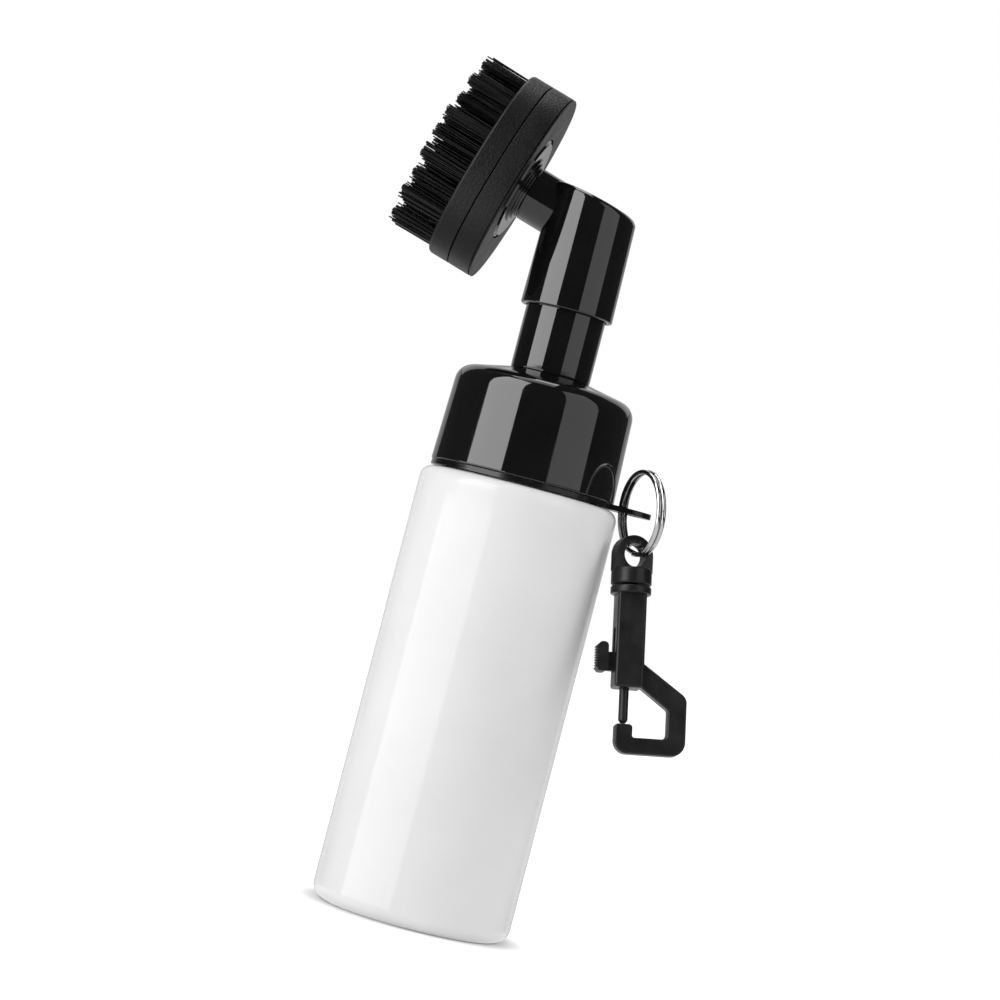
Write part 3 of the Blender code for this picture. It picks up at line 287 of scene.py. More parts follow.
# %% [markdown]
# ## Shared effects
#
# Moulded plastic is never quite even. Its skin has a fine grain from the mould, and handling leaves soft
# patches that are a little shinier or duller. Every finish here uses these two effects, each with its own
# scale, so they are built once as a node group. The group reads the piece's own coordinates and puts out a
# height for the grain, a speckle that follows the grain, and a mask for the marks. A second group shades a
# colour softly between two tones.

# %% Moulded skin
def add_socket(tree, name, kind, direction, value=None):
    socket = tree.interface.new_socket(name=name, in_out=direction, socket_type=kind)
    if value is not None:
        socket.default_value = value


def new_group(name, inputs, outputs):
    tree = bpy.data.node_groups.new(name, "ShaderNodeTree")
    for socket, kind, value in inputs:
        add_socket(tree, socket, kind, "INPUT", value)
    for socket, kind in outputs:
        add_socket(tree, socket, kind, "OUTPUT")
    return tree, tree.nodes.new("NodeGroupInput"), tree.nodes.new("NodeGroupOutput")


moulded_skin, skin_in, skin_out = new_group(
    "moulded_skin",
    [
        ("Vector", "NodeSocketVector", None),
        ("Grain Scale", "NodeSocketFloat", 1500.0),
        ("Marks Scale", "NodeSocketFloat", 60.0),
    ],
    [("Height", "NodeSocketFloat"), ("Speckle", "NodeSocketFloat"), ("Marks", "NodeSocketFloat")],
)
grain = moulded_skin.nodes.new("ShaderNodeTexNoise")
grain.inputs["Detail"].default_value = 3.0
grain.inputs["Roughness"].default_value = 0.6
patches = moulded_skin.nodes.new("ShaderNodeTexNoise")
patches.inputs["Detail"].default_value = 4.0
spread = moulded_skin.nodes.new("ShaderNodeMapRange")
spread.inputs["From Min"].default_value = 0.35
spread.inputs["From Max"].default_value = 0.68
moulded_skin.links.new(skin_in.outputs["Vector"], grain.inputs["Vector"])
moulded_skin.links.new(skin_in.outputs["Grain Scale"], grain.inputs["Scale"])
moulded_skin.links.new(skin_in.outputs["Vector"], patches.inputs["Vector"])
moulded_skin.links.new(skin_in.outputs["Marks Scale"], patches.inputs["Scale"])
moulded_skin.links.new(patches.outputs["Fac"], spread.inputs["Value"])
speckle = moulded_skin.nodes.new("ShaderNodeMapRange")
speckle.inputs["From Min"].default_value = 0.40
speckle.inputs["From Max"].default_value = 0.62
moulded_skin.links.new(grain.outputs["Fac"], speckle.inputs["Value"])
moulded_skin.links.new(speckle.outputs["Result"], skin_out.inputs["Speckle"])
moulded_skin.links.new(grain.outputs["Fac"], skin_out.inputs["Height"])
moulded_skin.links.new(spread.outputs["Result"], skin_out.inputs["Marks"])

# %% Two tones
two_tone, tone_in, tone_out = new_group(
    "two_tone",
    [
        ("Mask", "NodeSocketFloat", 0.5),
        ("Dark", "NodeSocketColor", (0.1, 0.1, 0.1, 1.0)),
        ("Light", "NodeSocketColor", (0.2, 0.2, 0.2, 1.0)),
    ],
    [("Color", "NodeSocketColor")],
)
blend = two_tone.nodes.new("ShaderNodeMix")
blend.data_type = "RGBA"
two_tone.links.new(tone_in.outputs["Mask"], blend.inputs["Factor"])
two_tone.links.new(tone_in.outputs["Dark"], blend.inputs["A"])
two_tone.links.new(tone_in.outputs["Light"], blend.inputs["B"])
two_tone.links.new(blend.outputs["Result"], tone_out.inputs["Color"])
print("node groups", [group.name for group in bpy.data.node_groups])

# %% [markdown]
# ## Finishes
#
# Seven plastics, two metals and a rubber cover the whole object. A finish is a Principled shader that gets
# its colour from the two tones, its roughness from the marks and its fine bump from the grain. The polished
# black is nearly smooth, the brush body has a grain that shows as a dull, sandy black, and the hook lies
# between the two.

# %% Plastics, rubber and metals
def finish(
    name, dark, light, gloss, grain_scale, grain_depth, marks_scale,
    metallic=0.0, specular=0.5, tones_from="Marks",
):
    """A finish from two tones, a pair of roughness values and a grain."""
    paint = bpy.data.materials.new(name)
    paint.use_nodes = True
    nodes, links = paint.node_tree.nodes, paint.node_tree.links
    shader = nodes["Principled BSDF"]
    shader.inputs["Metallic"].default_value = metallic
    shader.inputs["Specular IOR Level"].default_value = specular
    place = nodes.new("ShaderNodeTexCoord")
    skin = nodes.new("ShaderNodeGroup")
    skin.node_tree = moulded_skin
    skin.inputs["Grain Scale"].default_value = grain_scale
    skin.inputs["Marks Scale"].default_value = marks_scale
    tones = nodes.new("ShaderNodeGroup")
    tones.node_tree = two_tone
    tones.inputs["Dark"].default_value = (*dark, 1.0)
    tones.inputs["Light"].default_value = (*light, 1.0)
    roughness = nodes.new("ShaderNodeMapRange")
    roughness.inputs["To Min"].default_value = gloss[0]
    roughness.inputs["To Max"].default_value = gloss[1]
    bump = nodes.new("ShaderNodeBump")
    bump.inputs["Distance"].default_value = grain_depth
    links.new(place.outputs["Object"], skin.inputs["Vector"])
    links.new(skin.outputs[tones_from], tones.inputs["Mask"])
    links.new(tones.outputs["Color"], shader.inputs["Base Color"])
    links.new(skin.outputs["Marks"], roughness.inputs["Value"])
    links.new(roughness.outputs["Result"], shader.inputs["Roughness"])
    links.new(skin.outputs["Height"], bump.inputs["Height"])
    links.new(bump.outputs["Normal"], shader.inputs["Normal"])
    print("finish", name, "has a roughness of", gloss)
    return paint


white_gloss = finish(
    "white_gloss", dark=(0.83, 0.83, 0.83), light=(0.87, 0.87, 0.87), gloss=(0.06, 0.09),
    grain_scale=90.0, grain_depth=0.000003, marks_scale=40.0, specular=0.25,
)
black_gloss = finish(
    "black_gloss", dark=(0.004, 0.004, 0.0045), light=(0.006, 0.006, 0.0065), gloss=(0.035, 0.07),
    grain_scale=700.0, grain_depth=0.000001, marks_scale=90.0, specular=0.62,
)
black_grain = finish(
    "black_grain", dark=(0.002, 0.002, 0.002), light=(0.005, 0.005, 0.0052), gloss=(0.36, 0.44),
    grain_scale=1900.0, grain_depth=0.00009, marks_scale=160.0, specular=0.22, tones_from="Speckle",
)
black_satin = finish(
    "black_satin", dark=(0.008, 0.008, 0.0085), light=(0.013, 0.013, 0.0135), gloss=(0.30, 0.42),
    grain_scale=2400.0, grain_depth=0.00002, marks_scale=220.0, specular=0.3,
)
tab_black = finish(
    "tab_black", dark=(0.004, 0.004, 0.0045), light=(0.007, 0.007, 0.0075), gloss=(0.14, 0.22),
    grain_scale=1800.0, grain_depth=0.000004, marks_scale=180.0,
)
bristle_black = finish(
    "bristle_black", dark=(0.002, 0.002, 0.002), light=(0.004, 0.004, 0.004), gloss=(0.14, 0.20),
    grain_scale=900.0, grain_depth=0.000002, marks_scale=350.0, specular=0.4,
)
natural_plastic = finish(
    "natural_plastic", dark=(0.70, 0.70, 0.67), light=(0.78, 0.78, 0.75), gloss=(0.3, 0.42),
    grain_scale=900.0, grain_depth=0.00001, marks_scale=150.0,
)
rubber = finish(
    "rubber", dark=(0.018, 0.018, 0.018), light=(0.035, 0.035, 0.035), gloss=(0.6, 0.75),
    grain_scale=2500.0, grain_depth=0.00003, marks_scale=200.0,
)
plated_wire = finish(
    "plated_wire", dark=(0.44, 0.44, 0.45), light=(0.55, 0.55, 0.56), gloss=(0.06, 0.12),
    grain_scale=1800.0, grain_depth=0.0000005, marks_scale=300.0, metallic=1.0,
)
spring_steel = finish(
    "spring_steel", dark=(0.42, 0.42, 0.43), light=(0.55, 0.55, 0.56), gloss=(0.22, 0.34),
    grain_scale=2200.0, grain_depth=0.000008, marks_scale=400.0, metallic=1.0,
)

# %% [markdown]
# ## Turned pieces
#
# The bottle, the collar, the chimney and the connector are all round, so each is drawn as half a section and
# spun about its axis, as on a lathe. The section is drawn from one vertex that is extruded from corner to
# corner, and each corner gets its own radius, because a moulded corner is never sharp: the thin light line
# along each edge of the photograph is such a radius. Merging, shading, cutting and placing are the same for
# every piece on the bench, so they become helpers here.

# %% Merging, shading and cutting
def modify(piece, kind, **settings):
    """Add a modifier, set it and apply it."""
    take(piece)
    modifier = piece.modifiers.new(kind.lower(), kind)
    for key, value in settings.items():
        setattr(modifier, key, value)
    bpy.ops.object.modifier_apply(modifier=modifier.name)


def weld(piece, touching=0.002):
    """Merge the points that touch, in millimetres, and turn the faces outwards."""
    take(piece)
    bpy.ops.object.mode_set(mode="EDIT")
    bpy.ops.mesh.select_all(action="SELECT")
    bpy.ops.mesh.remove_doubles(threshold=touching * MM)
    bpy.ops.mesh.normals_make_consistent(inside=False)
    bpy.ops.object.mode_set(mode="OBJECT")


def smooth(piece, degrees=35.0):
    """Shade smooth except at sharp edges, and let large faces decide the shading."""
    take(piece)
    bpy.ops.object.shade_smooth_by_angle(angle=math.radians(degrees))
    modify(piece, "WEIGHTED_NORMAL", keep_sharp=True)


def combine(piece, tool, operation):
    """Join a tool to a piece, or cut it out, and throw the tool away."""
    modify(piece, "BOOLEAN", operation=operation, solver="EXACT", object=tool)
    bpy.data.objects.remove(tool)


# %% Lathe
def soften(corners, segments=6):
    """Replace each (radius, height, bend) corner by an arc. A corner without a bend stays sharp."""
    points = []
    count = len(corners)
    for i, corner in enumerate(corners):
        here = Vector(corner[:2])
        if len(corner) == 2:
            points.append(here)
            continue
        before = (Vector(corners[i - 1][:2]) - here).normalized()
        after = (Vector(corners[(i + 1) % count][:2]) - here).normalized()
        half = before.angle(after) / 2
        centre = here + (before + after).normalized() * corner[2] / math.sin(half)
        start = here + before * corner[2] / math.tan(half) - centre
        end = here + after * corner[2] / math.tan(half) - centre
        sweep = start.angle_signed(end)
        for k in range(segments + 1):
            step = Matrix.Rotation(-sweep * k / segments, 2)
            points.append(centre + step @ start)
    return points


def hold(points, close=0.25):
    """Add a point near each end of a long straight line, so that its smooth shading stays straight."""
    held = [points[0]]
    for here, there in zip(points, points[1:]):
        step = there - here
        if step.length > 4 * close:
            held += [here + step.normalized() * close, there - step.normalized() * close]
        held.append(there)
    return held


def lathe(name, corners, steps=128, ring=True):
    """Draw a half section in millimetres and spin it about Z. A ring's section is closed."""
    points = soften(corners)
    if ring:
        points.append(points[0])
    points = [point * MM for point in hold(points)]
    deselect()
    bpy.ops.mesh.primitive_plane_add(size=MM)
    piece = bpy.context.object
    piece.name = name
    bpy.ops.object.mode_set(mode="EDIT")
    bpy.ops.mesh.merge(type="CENTER")
    bpy.ops.transform.translate(value=(points[0].x, 0.0, points[0].y))
    for here, there in zip(points, points[1:]):
        step = there - here
        bpy.ops.mesh.extrude_vertices_move(TRANSFORM_OT_translate={"value": (step.x, 0.0, step.y)})
    bpy.ops.mesh.select_all(action="SELECT")
    bpy.ops.mesh.spin(steps=steps, angle=math.tau, center=(0.0, 0.0, 0.0), axis=(0.0, 0.0, 1.0))
    bpy.ops.object.mode_set(mode="OBJECT")
    weld(piece)
    smooth(piece)
    return piece


# %% Place and finish
def seat(piece, place):
    """Move a piece that was made at the origin to its place, and put the place into its mesh."""
    take(piece)
    piece.matrix_world = place @ piece.matrix_world
    bpy.ops.object.transform_apply(location=True, rotation=True, scale=True)


def dress(piece, paint, body, node):
    """Give a piece its finish, the body that it moves with and the CAD node that it stands for."""
    piece.data.materials.clear()
    piece.data.materials.append(paint)
    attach(piece, body)
    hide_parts(node)
    print(piece.name, "has", len(piece.data.polygons), "faces")


# %% [markdown]
# ## Bottle
#
# A blow-moulded white bottle with a flat base, a rounded shoulder and a neck that the collar hides. The
# section is drawn from the floor inside, up and over the neck, and down the outside, so the wall has its
# real thickness. The thread on the neck is a round bead along a helix. A curve with a round bevel makes it,
# and it becomes one solid with the neck.

# %% Bottle with its thread
def helix(radius, low, rise, turns, count):
    """Points along a helix round Z."""
    points = []
    for i in range(count + 1):
        angle = math.tau * turns * i / count
        points.append((radius * math.cos(angle), radius * math.sin(angle), low + rise * i / count))
    return points


def round_wire(name, points, radius, resolution=3):
    """A round wire through a row of points, in millimetres, closed at its ends."""
    bpy.ops.curve.primitive_nurbs_path_add()
    wire = bpy.context.object
    wire.name = name
    wire.data.splines.clear()
    line = wire.data.splines.new("POLY")
    line.points.add(len(points) - 1)
    for knot, (x, y, z) in zip(line.points, points):
        knot.co = (x * MM, y * MM, z * MM, 1.0)
    wire.data.bevel_depth = radius * MM
    wire.data.bevel_resolution = resolution
    wire.data.use_fill_caps = True
    take(wire)
    bpy.ops.object.convert(target="MESH")
    weld(wire)
    return wire


THREAD_TURNS, THREAD_PITCH, BEAD = 1.25, 3.5, 1.0


def thread_bead(name, radius, low):
    """The thread of the neck or of the collar, in millimetres."""
    points = helix(radius, low, rise=THREAD_PITCH * THREAD_TURNS, turns=THREAD_TURNS, count=90)
    return round_wire(name, points, BEAD)


bottle = lathe(
    "bottle_shell",
    [
        (0.0, 1.6),
        (22.3, 1.6, 2.1),
        (22.3, 101.9, 1.6),
        (16.2, 101.9, 0.6),
        (16.2, 121.0, 0.4),
        (17.8, 121.0, 0.4),
        (17.8, 103.1, 0.4),
        (23.5, 103.1, 2.8),
        (23.5, 0.0, 3.3),
        (0.0, 0.0),
    ],
    steps=160,
    ring=False,
)
combine(bottle, thread_bead("neck_bead", radius=17.9, low=109.0), "UNION")
smooth(bottle)
dress(bottle, white_gloss, "bottle", "bottle")

# %% [markdown]
# ## Lanyard tab
#
# A flat black washer lies between the shoulder and the collar, and its tongue sticks out with a hole for the
# ring. It is a stamped plate, so it is built from plain shapes: a wide disc, a tongue and its round end are
# joined, the two holes are cut, and a small bevel breaks the edges.

# %% Lanyard tab
def rod(name, radius, low, high, x=0.0, y=0.0, sides=96):
    """A round bar along Z, in millimetres."""
    deselect()
    bpy.ops.mesh.primitive_cylinder_add(
        vertices=sides,
        radius=radius * MM,
        depth=(high - low) * MM,
        location=(x * MM, y * MM, (low + high) / 2 * MM),
    )
    made = bpy.context.object
    made.name = name
    bpy.ops.object.transform_apply(location=True, rotation=True, scale=True)
    return made


def block(name, low, high):
    """A square bar between two corners, in millimetres."""
    low, high = Vector(low) * MM, Vector(high) * MM
    deselect()
    bpy.ops.mesh.primitive_cube_add(size=1.0, location=(low + high) / 2)
    made = bpy.context.object
    made.name = name
    made.scale = high - low
    bpy.ops.object.transform_apply(location=True, rotation=True, scale=True)
    return made


def soften_edges(piece, width, segments=3, degrees=35.0):
    """Round every edge that is sharper than the given angle."""
    limit = math.radians(degrees)
    modify(piece, "BEVEL", width=width * MM, segments=segments, limit_method="ANGLE", angle_limit=limit)
    smooth(piece, degrees)


REACH, HALF_TONGUE = 25.6, 5.4  # how far out the ring's hole lies, and half the width of the tongue
TONGUE_LOW, TONGUE_HIGH = 103.3, 104.55

tab = rod("lanyard_plate", 21.7, 103.4, 104.5, sides=160)
tongue = block("tongue", (15.0, -HALF_TONGUE, TONGUE_LOW), (REACH, HALF_TONGUE, TONGUE_HIGH))
combine(tab, tongue, "UNION")
combine(tab, rod("tongue_end", HALF_TONGUE, TONGUE_LOW, TONGUE_HIGH, x=REACH, sides=64), "UNION")
combine(tab, rod("neck_opening", 19.2, 100.0, 108.0, sides=128), "DIFFERENCE")
combine(tab, rod("ring_hole", 2.8, 100.0, 108.0, x=REACH, sides=48), "DIFFERENCE")
soften_edges(tab, 0.42)
dress(tab, tab_black, "bottle", "lanyard_tab")

# %% [markdown]
# ## Collar and chimney
#
# The collar is a polished screw cap that narrows a little towards the top, with a generous radius at its
# shoulder and a roof that rises to the chimney. The chimney is the sleeve that guides the press head. Its
# lower end narrows where it passes the roof.

# %% Collar and chimney
collar = lathe(
    "collar_cap",
    [
        (9.75, 129.2, 0.2),
        (10.35, 129.7, 0.3),
        (21.15, 127.3, 4.0),
        (21.9, 104.65, 0.3),
        (19.6, 104.65, 0.3),
        (19.6, 125.8),
        (18.4, 127.0),
        (9.75, 127.0, 0.3),
    ],
    steps=160,
)
combine(collar, thread_bead("collar_bead", radius=19.5, low=107.25), "UNION")
smooth(collar)
dress(collar, black_gloss, "collar", "collar")

chimney = lathe(
    "chimney_sleeve",
    [
        (7.9, 147.5, 0.3),
        (9.45, 147.5, 0.3),
        (9.45, 131.3, 0.1),
        (9.386, 129.95, 0.45),
        (8.7, 129.35, 0.3),
        (8.7, 126.7, 0.3),
        (18.0, 126.7, 0.3),
        (18.0, 124.9, 0.3),
        (7.9, 124.9, 0.3),
    ],
    steps=144,
)
dress(chimney, black_gloss, "pump", "chimney")

# %% [markdown]
# ## Press head
#
# The head is a thick round cap that is cut off at a slant, with a short spout that points up at the brush. A
# cone gives the slightly tapered body, a bisect with fill cuts the slant, and its rim is rounded at once. The
# spout is a bar along the spout's axis. The hollow skirt and the bores are cut out before one small bevel
# breaks all the other edges, the crease round the root of the spout included.

# %% Axis of the spout
SPOUT_HEIGHT = 165.6
HEAD_TURN = math.radians(-4.2)  # the brush points a little away from the camera
SPOUT_TILT = math.radians(-73.0)
spout_axis = Matrix.Translation((0.0, 0.0, SPOUT_HEIGHT * MM)) @ Matrix.Rotation(HEAD_TURN, 4, "Z")
spout_axis = spout_axis @ Matrix.Rotation(SPOUT_TILT, 4, "Y")
print("the spout points along", tuple(round(c, 3) for c in spout_axis.col[2][:3]))

# %% Press head
def round_edges(piece, width, segments, passes):
    """Round the edges whose two ends pass a test, in edit mode."""
    take(piece)
    bpy.ops.object.mode_set(mode="EDIT")
    bpy.ops.mesh.select_mode(type="EDGE")
    bpy.ops.mesh.select_all(action="DESELECT")
    bpy.ops.object.mode_set(mode="OBJECT")
    points = piece.data.vertices
    for edge in piece.data.edges:
        edge.select = all(passes(points[i].co) for i in edge.vertices)
    bpy.ops.object.mode_set(mode="EDIT")
    bpy.ops.mesh.bevel(offset=width * MM, segments=segments, affect="EDGES")
    bpy.ops.mesh.select_mode(type="VERT")
    bpy.ops.object.mode_set(mode="OBJECT")


HEAD_FOOT, BLANK = 145.0, 38.0  # lower rim of the head, and the length of the cone before it is cut
TOP, SLANT = 172.2, math.radians(13.5)  # where the slant crosses the axis, and how steep it is

deselect()
bpy.ops.mesh.primitive_cone_add(
    vertices=160,
    radius1=10.95 * MM,
    radius2=10.35 * MM,
    depth=BLANK * MM,
    location=(0.0, 0.0, (HEAD_FOOT + BLANK / 2) * MM),
)
head = bpy.context.object
head.name = "press_head"
bpy.ops.object.transform_apply(location=True, rotation=True, scale=True)
bpy.ops.object.mode_set(mode="EDIT")
bpy.ops.mesh.select_all(action="SELECT")
top_point = Vector((0.0, 0.0, TOP * MM))
top_normal = Matrix.Rotation(HEAD_TURN, 3, "Z") @ Vector((math.sin(SLANT), 0.0, math.cos(SLANT)))
bpy.ops.mesh.bisect(plane_co=top_point, plane_no=top_normal, use_fill=True, clear_outer=True)
bpy.ops.object.mode_set(mode="OBJECT")
round_edges(head, 0.45, 4, lambda place: place.z < (HEAD_FOOT + 0.01) * MM)
round_edges(head, 1.4, 6, lambda place: abs((place - top_point).dot(top_normal)) < 0.001 * MM)
spout = rod("spout", 6.5, -6.0, 15.6, sides=128)
seat(spout, spout_axis)
combine(head, spout, "UNION")

# %% Hollow and bores of the head
hollow = lathe("skirt_hollow", [(9.75, 159.0), (9.75, 143.0), (5.2, 143.0), (5.2, 159.0)], steps=128)
combine(head, hollow, "DIFFERENCE")
combine(head, rod("boss_end", 5.6, 143.0, 149.5, sides=64), "DIFFERENCE")
combine(head, rod("stem_socket", 3.7, 148.0, 157.3, sides=64), "DIFFERENCE")
combine(head, rod("rising_passage", 1.5, 157.0, SPOUT_HEIGHT, sides=32), "DIFFERENCE")
spout_bore = rod("spout_bore", 4.4, 6.6, 17.0, sides=96)
seat(spout_bore, spout_axis)
combine(head, spout_bore, "DIFFERENCE")
spout_passage = rod("spout_passage", 1.8, -1.8, 8.0, sides=32)
seat(spout_passage, spout_axis)
combine(head, spout_passage, "DIFFERENCE")
soften_edges(head, 0.35, segments=4, degrees=24.0)
dress(head, black_gloss, "head", "pump_head")

# %% [markdown]
# ## Brush body
#
# The brush has a polished disc with a boss that turns in the spout, and an oval body in two halves of dull,
# sandy plastic with a thin line between them. A second line runs round the flat lid of the back. The disc is
# turned. Each half starts as a filled circle whose points are moved to the oval. It is extruded to its depth
# and rounded along its edges. Then the back is hollowed, and the pad is drilled for its tufts.

# %% Connector disc
connector = lathe(
    "connector_disc",
    [
        (1.8, 21.2, 0.2),
        (4.0, 21.2, 0.3),
        (4.0, 19.4),
        (13.0, 19.4, 0.3),
        (13.0, 18.0, 0.15),
        (12.5, 17.95, 0.1),
        (12.2, 17.4, 0.15),
        (8.3, 17.45),
        (8.3, 17.05, 0.15),
        (7.3, 17.0),
        (7.3, 16.5, 0.15),
        (6.4, 16.5),
        (6.4, 15.9, 0.2),
        (4.1, 15.9),
        (4.1, 12.15),
        (2.7, 12.15),
        (2.7, 10.65),
        (4.1, 10.65),
        (4.1, 7.3, 0.3),
        (1.8, 7.3, 0.2),
    ],
    steps=128,
)
seat(connector, spout_axis)
dress(connector, black_gloss, "brush", "brush_connector")

# %% Back
HALF_LENGTH, HALF_WIDTH, ROUNDNESS = 23.75, 17.0, 2.3


def extrude_up(height):
    """Extrude the outline that was just drawn along Z, in millimetres, to a plate that faces outwards."""
    bpy.ops.object.mode_set(mode="EDIT")
    bpy.ops.mesh.select_all(action="SELECT")
    bpy.ops.mesh.extrude_region_move(TRANSFORM_OT_translate={"value": (0.0, 0.0, height * MM)})
    bpy.ops.mesh.select_all(action="SELECT")
    bpy.ops.mesh.normals_make_consistent(inside=False)
    bpy.ops.object.mode_set(mode="OBJECT")


def oval_plate(name, inset, low, high, sides=192):
    """A filled circle, moved to the brush's oval and extruded from one depth to another."""
    deselect()
    bpy.ops.mesh.primitive_circle_add(vertices=sides, radius=1.0, fill_type="NGON")
    made = bpy.context.object
    made.name = name
    power = 2.0 / ROUNDNESS
    for corner in made.data.vertices:
        along = math.copysign(abs(corner.co.x) ** power, corner.co.x)
        across = math.copysign(abs(corner.co.y) ** power, corner.co.y)
        corner.co = ((HALF_LENGTH - inset) * along * MM, (HALF_WIDTH - inset) * across * MM, low * MM)
    extrude_up(high - low)
    return made


PARTING, HALF_GAP = 23.85, 0.14  # depth of the line between the halves, and half its width
LID_LINE = 18.2  # depth of the line round the flat lid of the back
back = oval_plate("brush_back_shell", 0.0, LID_LINE + HALF_GAP, PARTING - HALF_GAP)
round_edges(back, 0.12, 3, lambda place: place.z > 0.0)
lid = oval_plate("brush_lid", 0.05, 17.8, LID_LINE - HALF_GAP)
round_edges(lid, 0.1, 3, lambda place: place.z > 0.0)
combine(back, oval_plate("lid_core", 0.45, LID_LINE - 0.2, LID_LINE + 1.0), "UNION")
combine(back, lid, "UNION")
combine(back, oval_plate("chamber", 1.2, 21.2, 26.0), "DIFFERENCE")
combine(back, rod("disc_seat", 13.3, 15.0, 19.7, sides=128), "DIFFERENCE")
combine(back, rod("tube_hole", 4.3, 15.0, 24.0, sides=64), "DIFFERENCE")
smooth(back)
seat(back, spout_axis)
dress(back, black_grain, "brush", "brush_back")

# %% [markdown]
# The tufts stand in rows on a square grid of 5 mm. The grid leaves out the places at the edge of the oval
# and the two beside the water outlet in the middle. The same list of places makes the holes in the pad and,
# in the next step, the bristles.

# %% Tuft places and pad
PITCH = 5.0
ROWS = {-12.5: 1, -7.5: 3, -2.5: 4, 2.5: 4, 7.5: 3, 12.5: 1}  # row across the brush: tufts to each side


def row_places(across):
    """Where the tufts of one row stand along the brush."""
    reach = ROWS[across]
    places = [k * PITCH for k in range(-reach, reach + 1)]
    if abs(across) < PITCH:
        places.remove(0.0)
    return places


def join(pieces, name):
    take(pieces[0])
    for piece in pieces:
        piece.select_set(True)
    bpy.ops.object.join()
    pieces[0].name = name
    return pieces[0]


PAD_FACE = 29.25  # depth of the face that the bristles stand on
pad = oval_plate("brush_pad_shell", 0.0, PARTING + HALF_GAP, PAD_FACE)
round_edges(pad, 0.7, 6, lambda place: place.z > (PAD_FACE - 0.01) * MM)
round_edges(pad, 0.12, 3, lambda place: place.z < (PARTING + HALF_GAP + 0.01) * MM)
combine(pad, oval_plate("pad_lip", 1.5, 22.75, 25.0), "UNION")
combine(pad, rod("outlet", 1.8, 20.0, 32.0, sides=32), "DIFFERENCE")
drills = []
for across in ROWS:
    for along in row_places(across):
        drills.append(rod("drill", 2.15, 20.0, 32.0, along, across, sides=20))
print("tufts:", len(drills))
combine(pad, join(drills, "drill"), "DIFFERENCE")
smooth(pad)
seat(pad, spout_axis)
dress(pad, black_grain, "brush", "brush_pad")

# %% [markdown]
# ## Bristles
#
# Each tuft is a bundle of stiff nylon filaments that stand close together in their hole and fan out towards
# the tips, with ends that are not all the same length. One filament is modelled: a six-sided bar that bends
# a little and gets thinner towards its tip. Copies of it, each with its own lean, make five different tufts.
# Most of the filaments at the two ends of a tuft are shorter, so that its outline narrows at the tips. Each
# place in a row gets a copy of one of the tufts, as it is or half turned. The wire that holds a row runs
# behind the pad.

# %% One filament
TIP, ROOT_DEPTH = 41.15, 22.45  # depths along the spout's axis
FILAMENT, TAPER = 0.19, 0.97  # radius, and how much of it is left after each step
BAR = 18.0  # length of the filament as it is drawn, before it is stretched

deselect()
bpy.ops.mesh.primitive_circle_add(vertices=6, radius=FILAMENT * MM, fill_type="NOTHING")
filament = bpy.context.object
filament.name = "filament"
bpy.ops.object.mode_set(mode="EDIT")
bpy.ops.mesh.select_all(action="SELECT")
for rise, bend in ((6.5, 0.0), (3.0, 0.0), (4.0, 0.02), (BAR - 13.5, 0.05)):
    bpy.ops.mesh.extrude_region_move(TRANSFORM_OT_translate={"value": (bend * MM, 0.0, rise * MM)})
    bpy.ops.transform.resize(value=(TAPER, TAPER, 1.0))
bpy.ops.mesh.edge_face_add()
bpy.ops.mesh.select_all(action="SELECT")
bpy.ops.mesh.normals_make_consistent(inside=False)
bpy.ops.object.mode_set(mode="OBJECT")
smooth(filament, 80.0)
print("a filament has", len(filament.data.polygons), "faces")

# %% Tufts
CORE, EDGE = 38, 18  # filaments in the middle of a tuft and at its two ends
CORE_ROOTS = 1.6  # how far from the middle of the hole the first ones stand at most
EDGE_ROOTS, HALF_EDGE = (1.8, 2.0), 0.6  # how far along the row the others stand, and how far across
SPREAD, STRAY = 1.25, 0.2  # how much the tuft widens towards its tips, and how far a tip strays
LONG_WITHIN, LONG_CHANCE = 1.55, 0.06  # tips this near the middle are long, and so are a few of the others
LONG_REACH, SHORT_REACH = 1.93, 2.25  # how far from the middle of the tuft a long and a short filament end
LONG_SHARE, SHORT_SHARE = (0.972, 1.0), (0.895, 0.94)  # least and greatest share of the full length
TUFTS = 5


def copy_of(piece, place):
    made = piece.copy()
    made.data = piece.data.copy()
    made.data.transform(place)
    bpy.context.scene.collection.objects.link(made)
    return made


def make_tuft(name):
    """Filaments that fan out from the hole. Most of those at the two ends of the tuft are cut shorter."""
    filaments = []
    for i in range(CORE + EDGE):
        angle = random.uniform(0.0, math.tau)
        root = Vector((math.cos(angle), math.sin(angle), 0.0)) * CORE_ROOTS * math.sqrt(random.random())
        if i >= CORE:
            end = random.choice((-1.0, 1.0))
            root = Vector((end * random.uniform(*EDGE_ROOTS), random.uniform(-HALF_EDGE, HALF_EDGE), 0.0))
        tip = root * SPREAD + Vector((random.uniform(-STRAY, STRAY), random.uniform(-STRAY, STRAY), 0.0))
        long = abs(tip.x) < LONG_WITHIN or random.random() < LONG_CHANCE
        tip *= min(1.0, (LONG_REACH if long else SHORT_REACH) / tip.length)
        length = (TIP - ROOT_DEPTH) * random.uniform(*(LONG_SHARE if long else SHORT_SHARE))
        lean = (tip - root) / length
        shear = Matrix.Identity(4)
        shear[0][2], shear[1][2] = lean.x, lean.y
        stretch = Matrix.Diagonal((1.0, 1.0, length / BAR, 1.0))
        spin = Matrix.Rotation(random.uniform(0.0, math.tau), 4, "Z")
        filaments.append(copy_of(filament, Matrix.Translation(root * MM) @ shear @ stretch @ spin))
    return join(filaments, name)


random.seed(7)
tufts = [make_tuft(f"tuft_{k}") for k in range(TUFTS)]
print("a tuft has", CORE + EDGE, "filaments")

# %% Rows of bristles
WIRE, WIRE_DEPTH, OVERHANG = 0.35, 22.1, 0.6  # radius and depth of the drawing wire, and its overhang

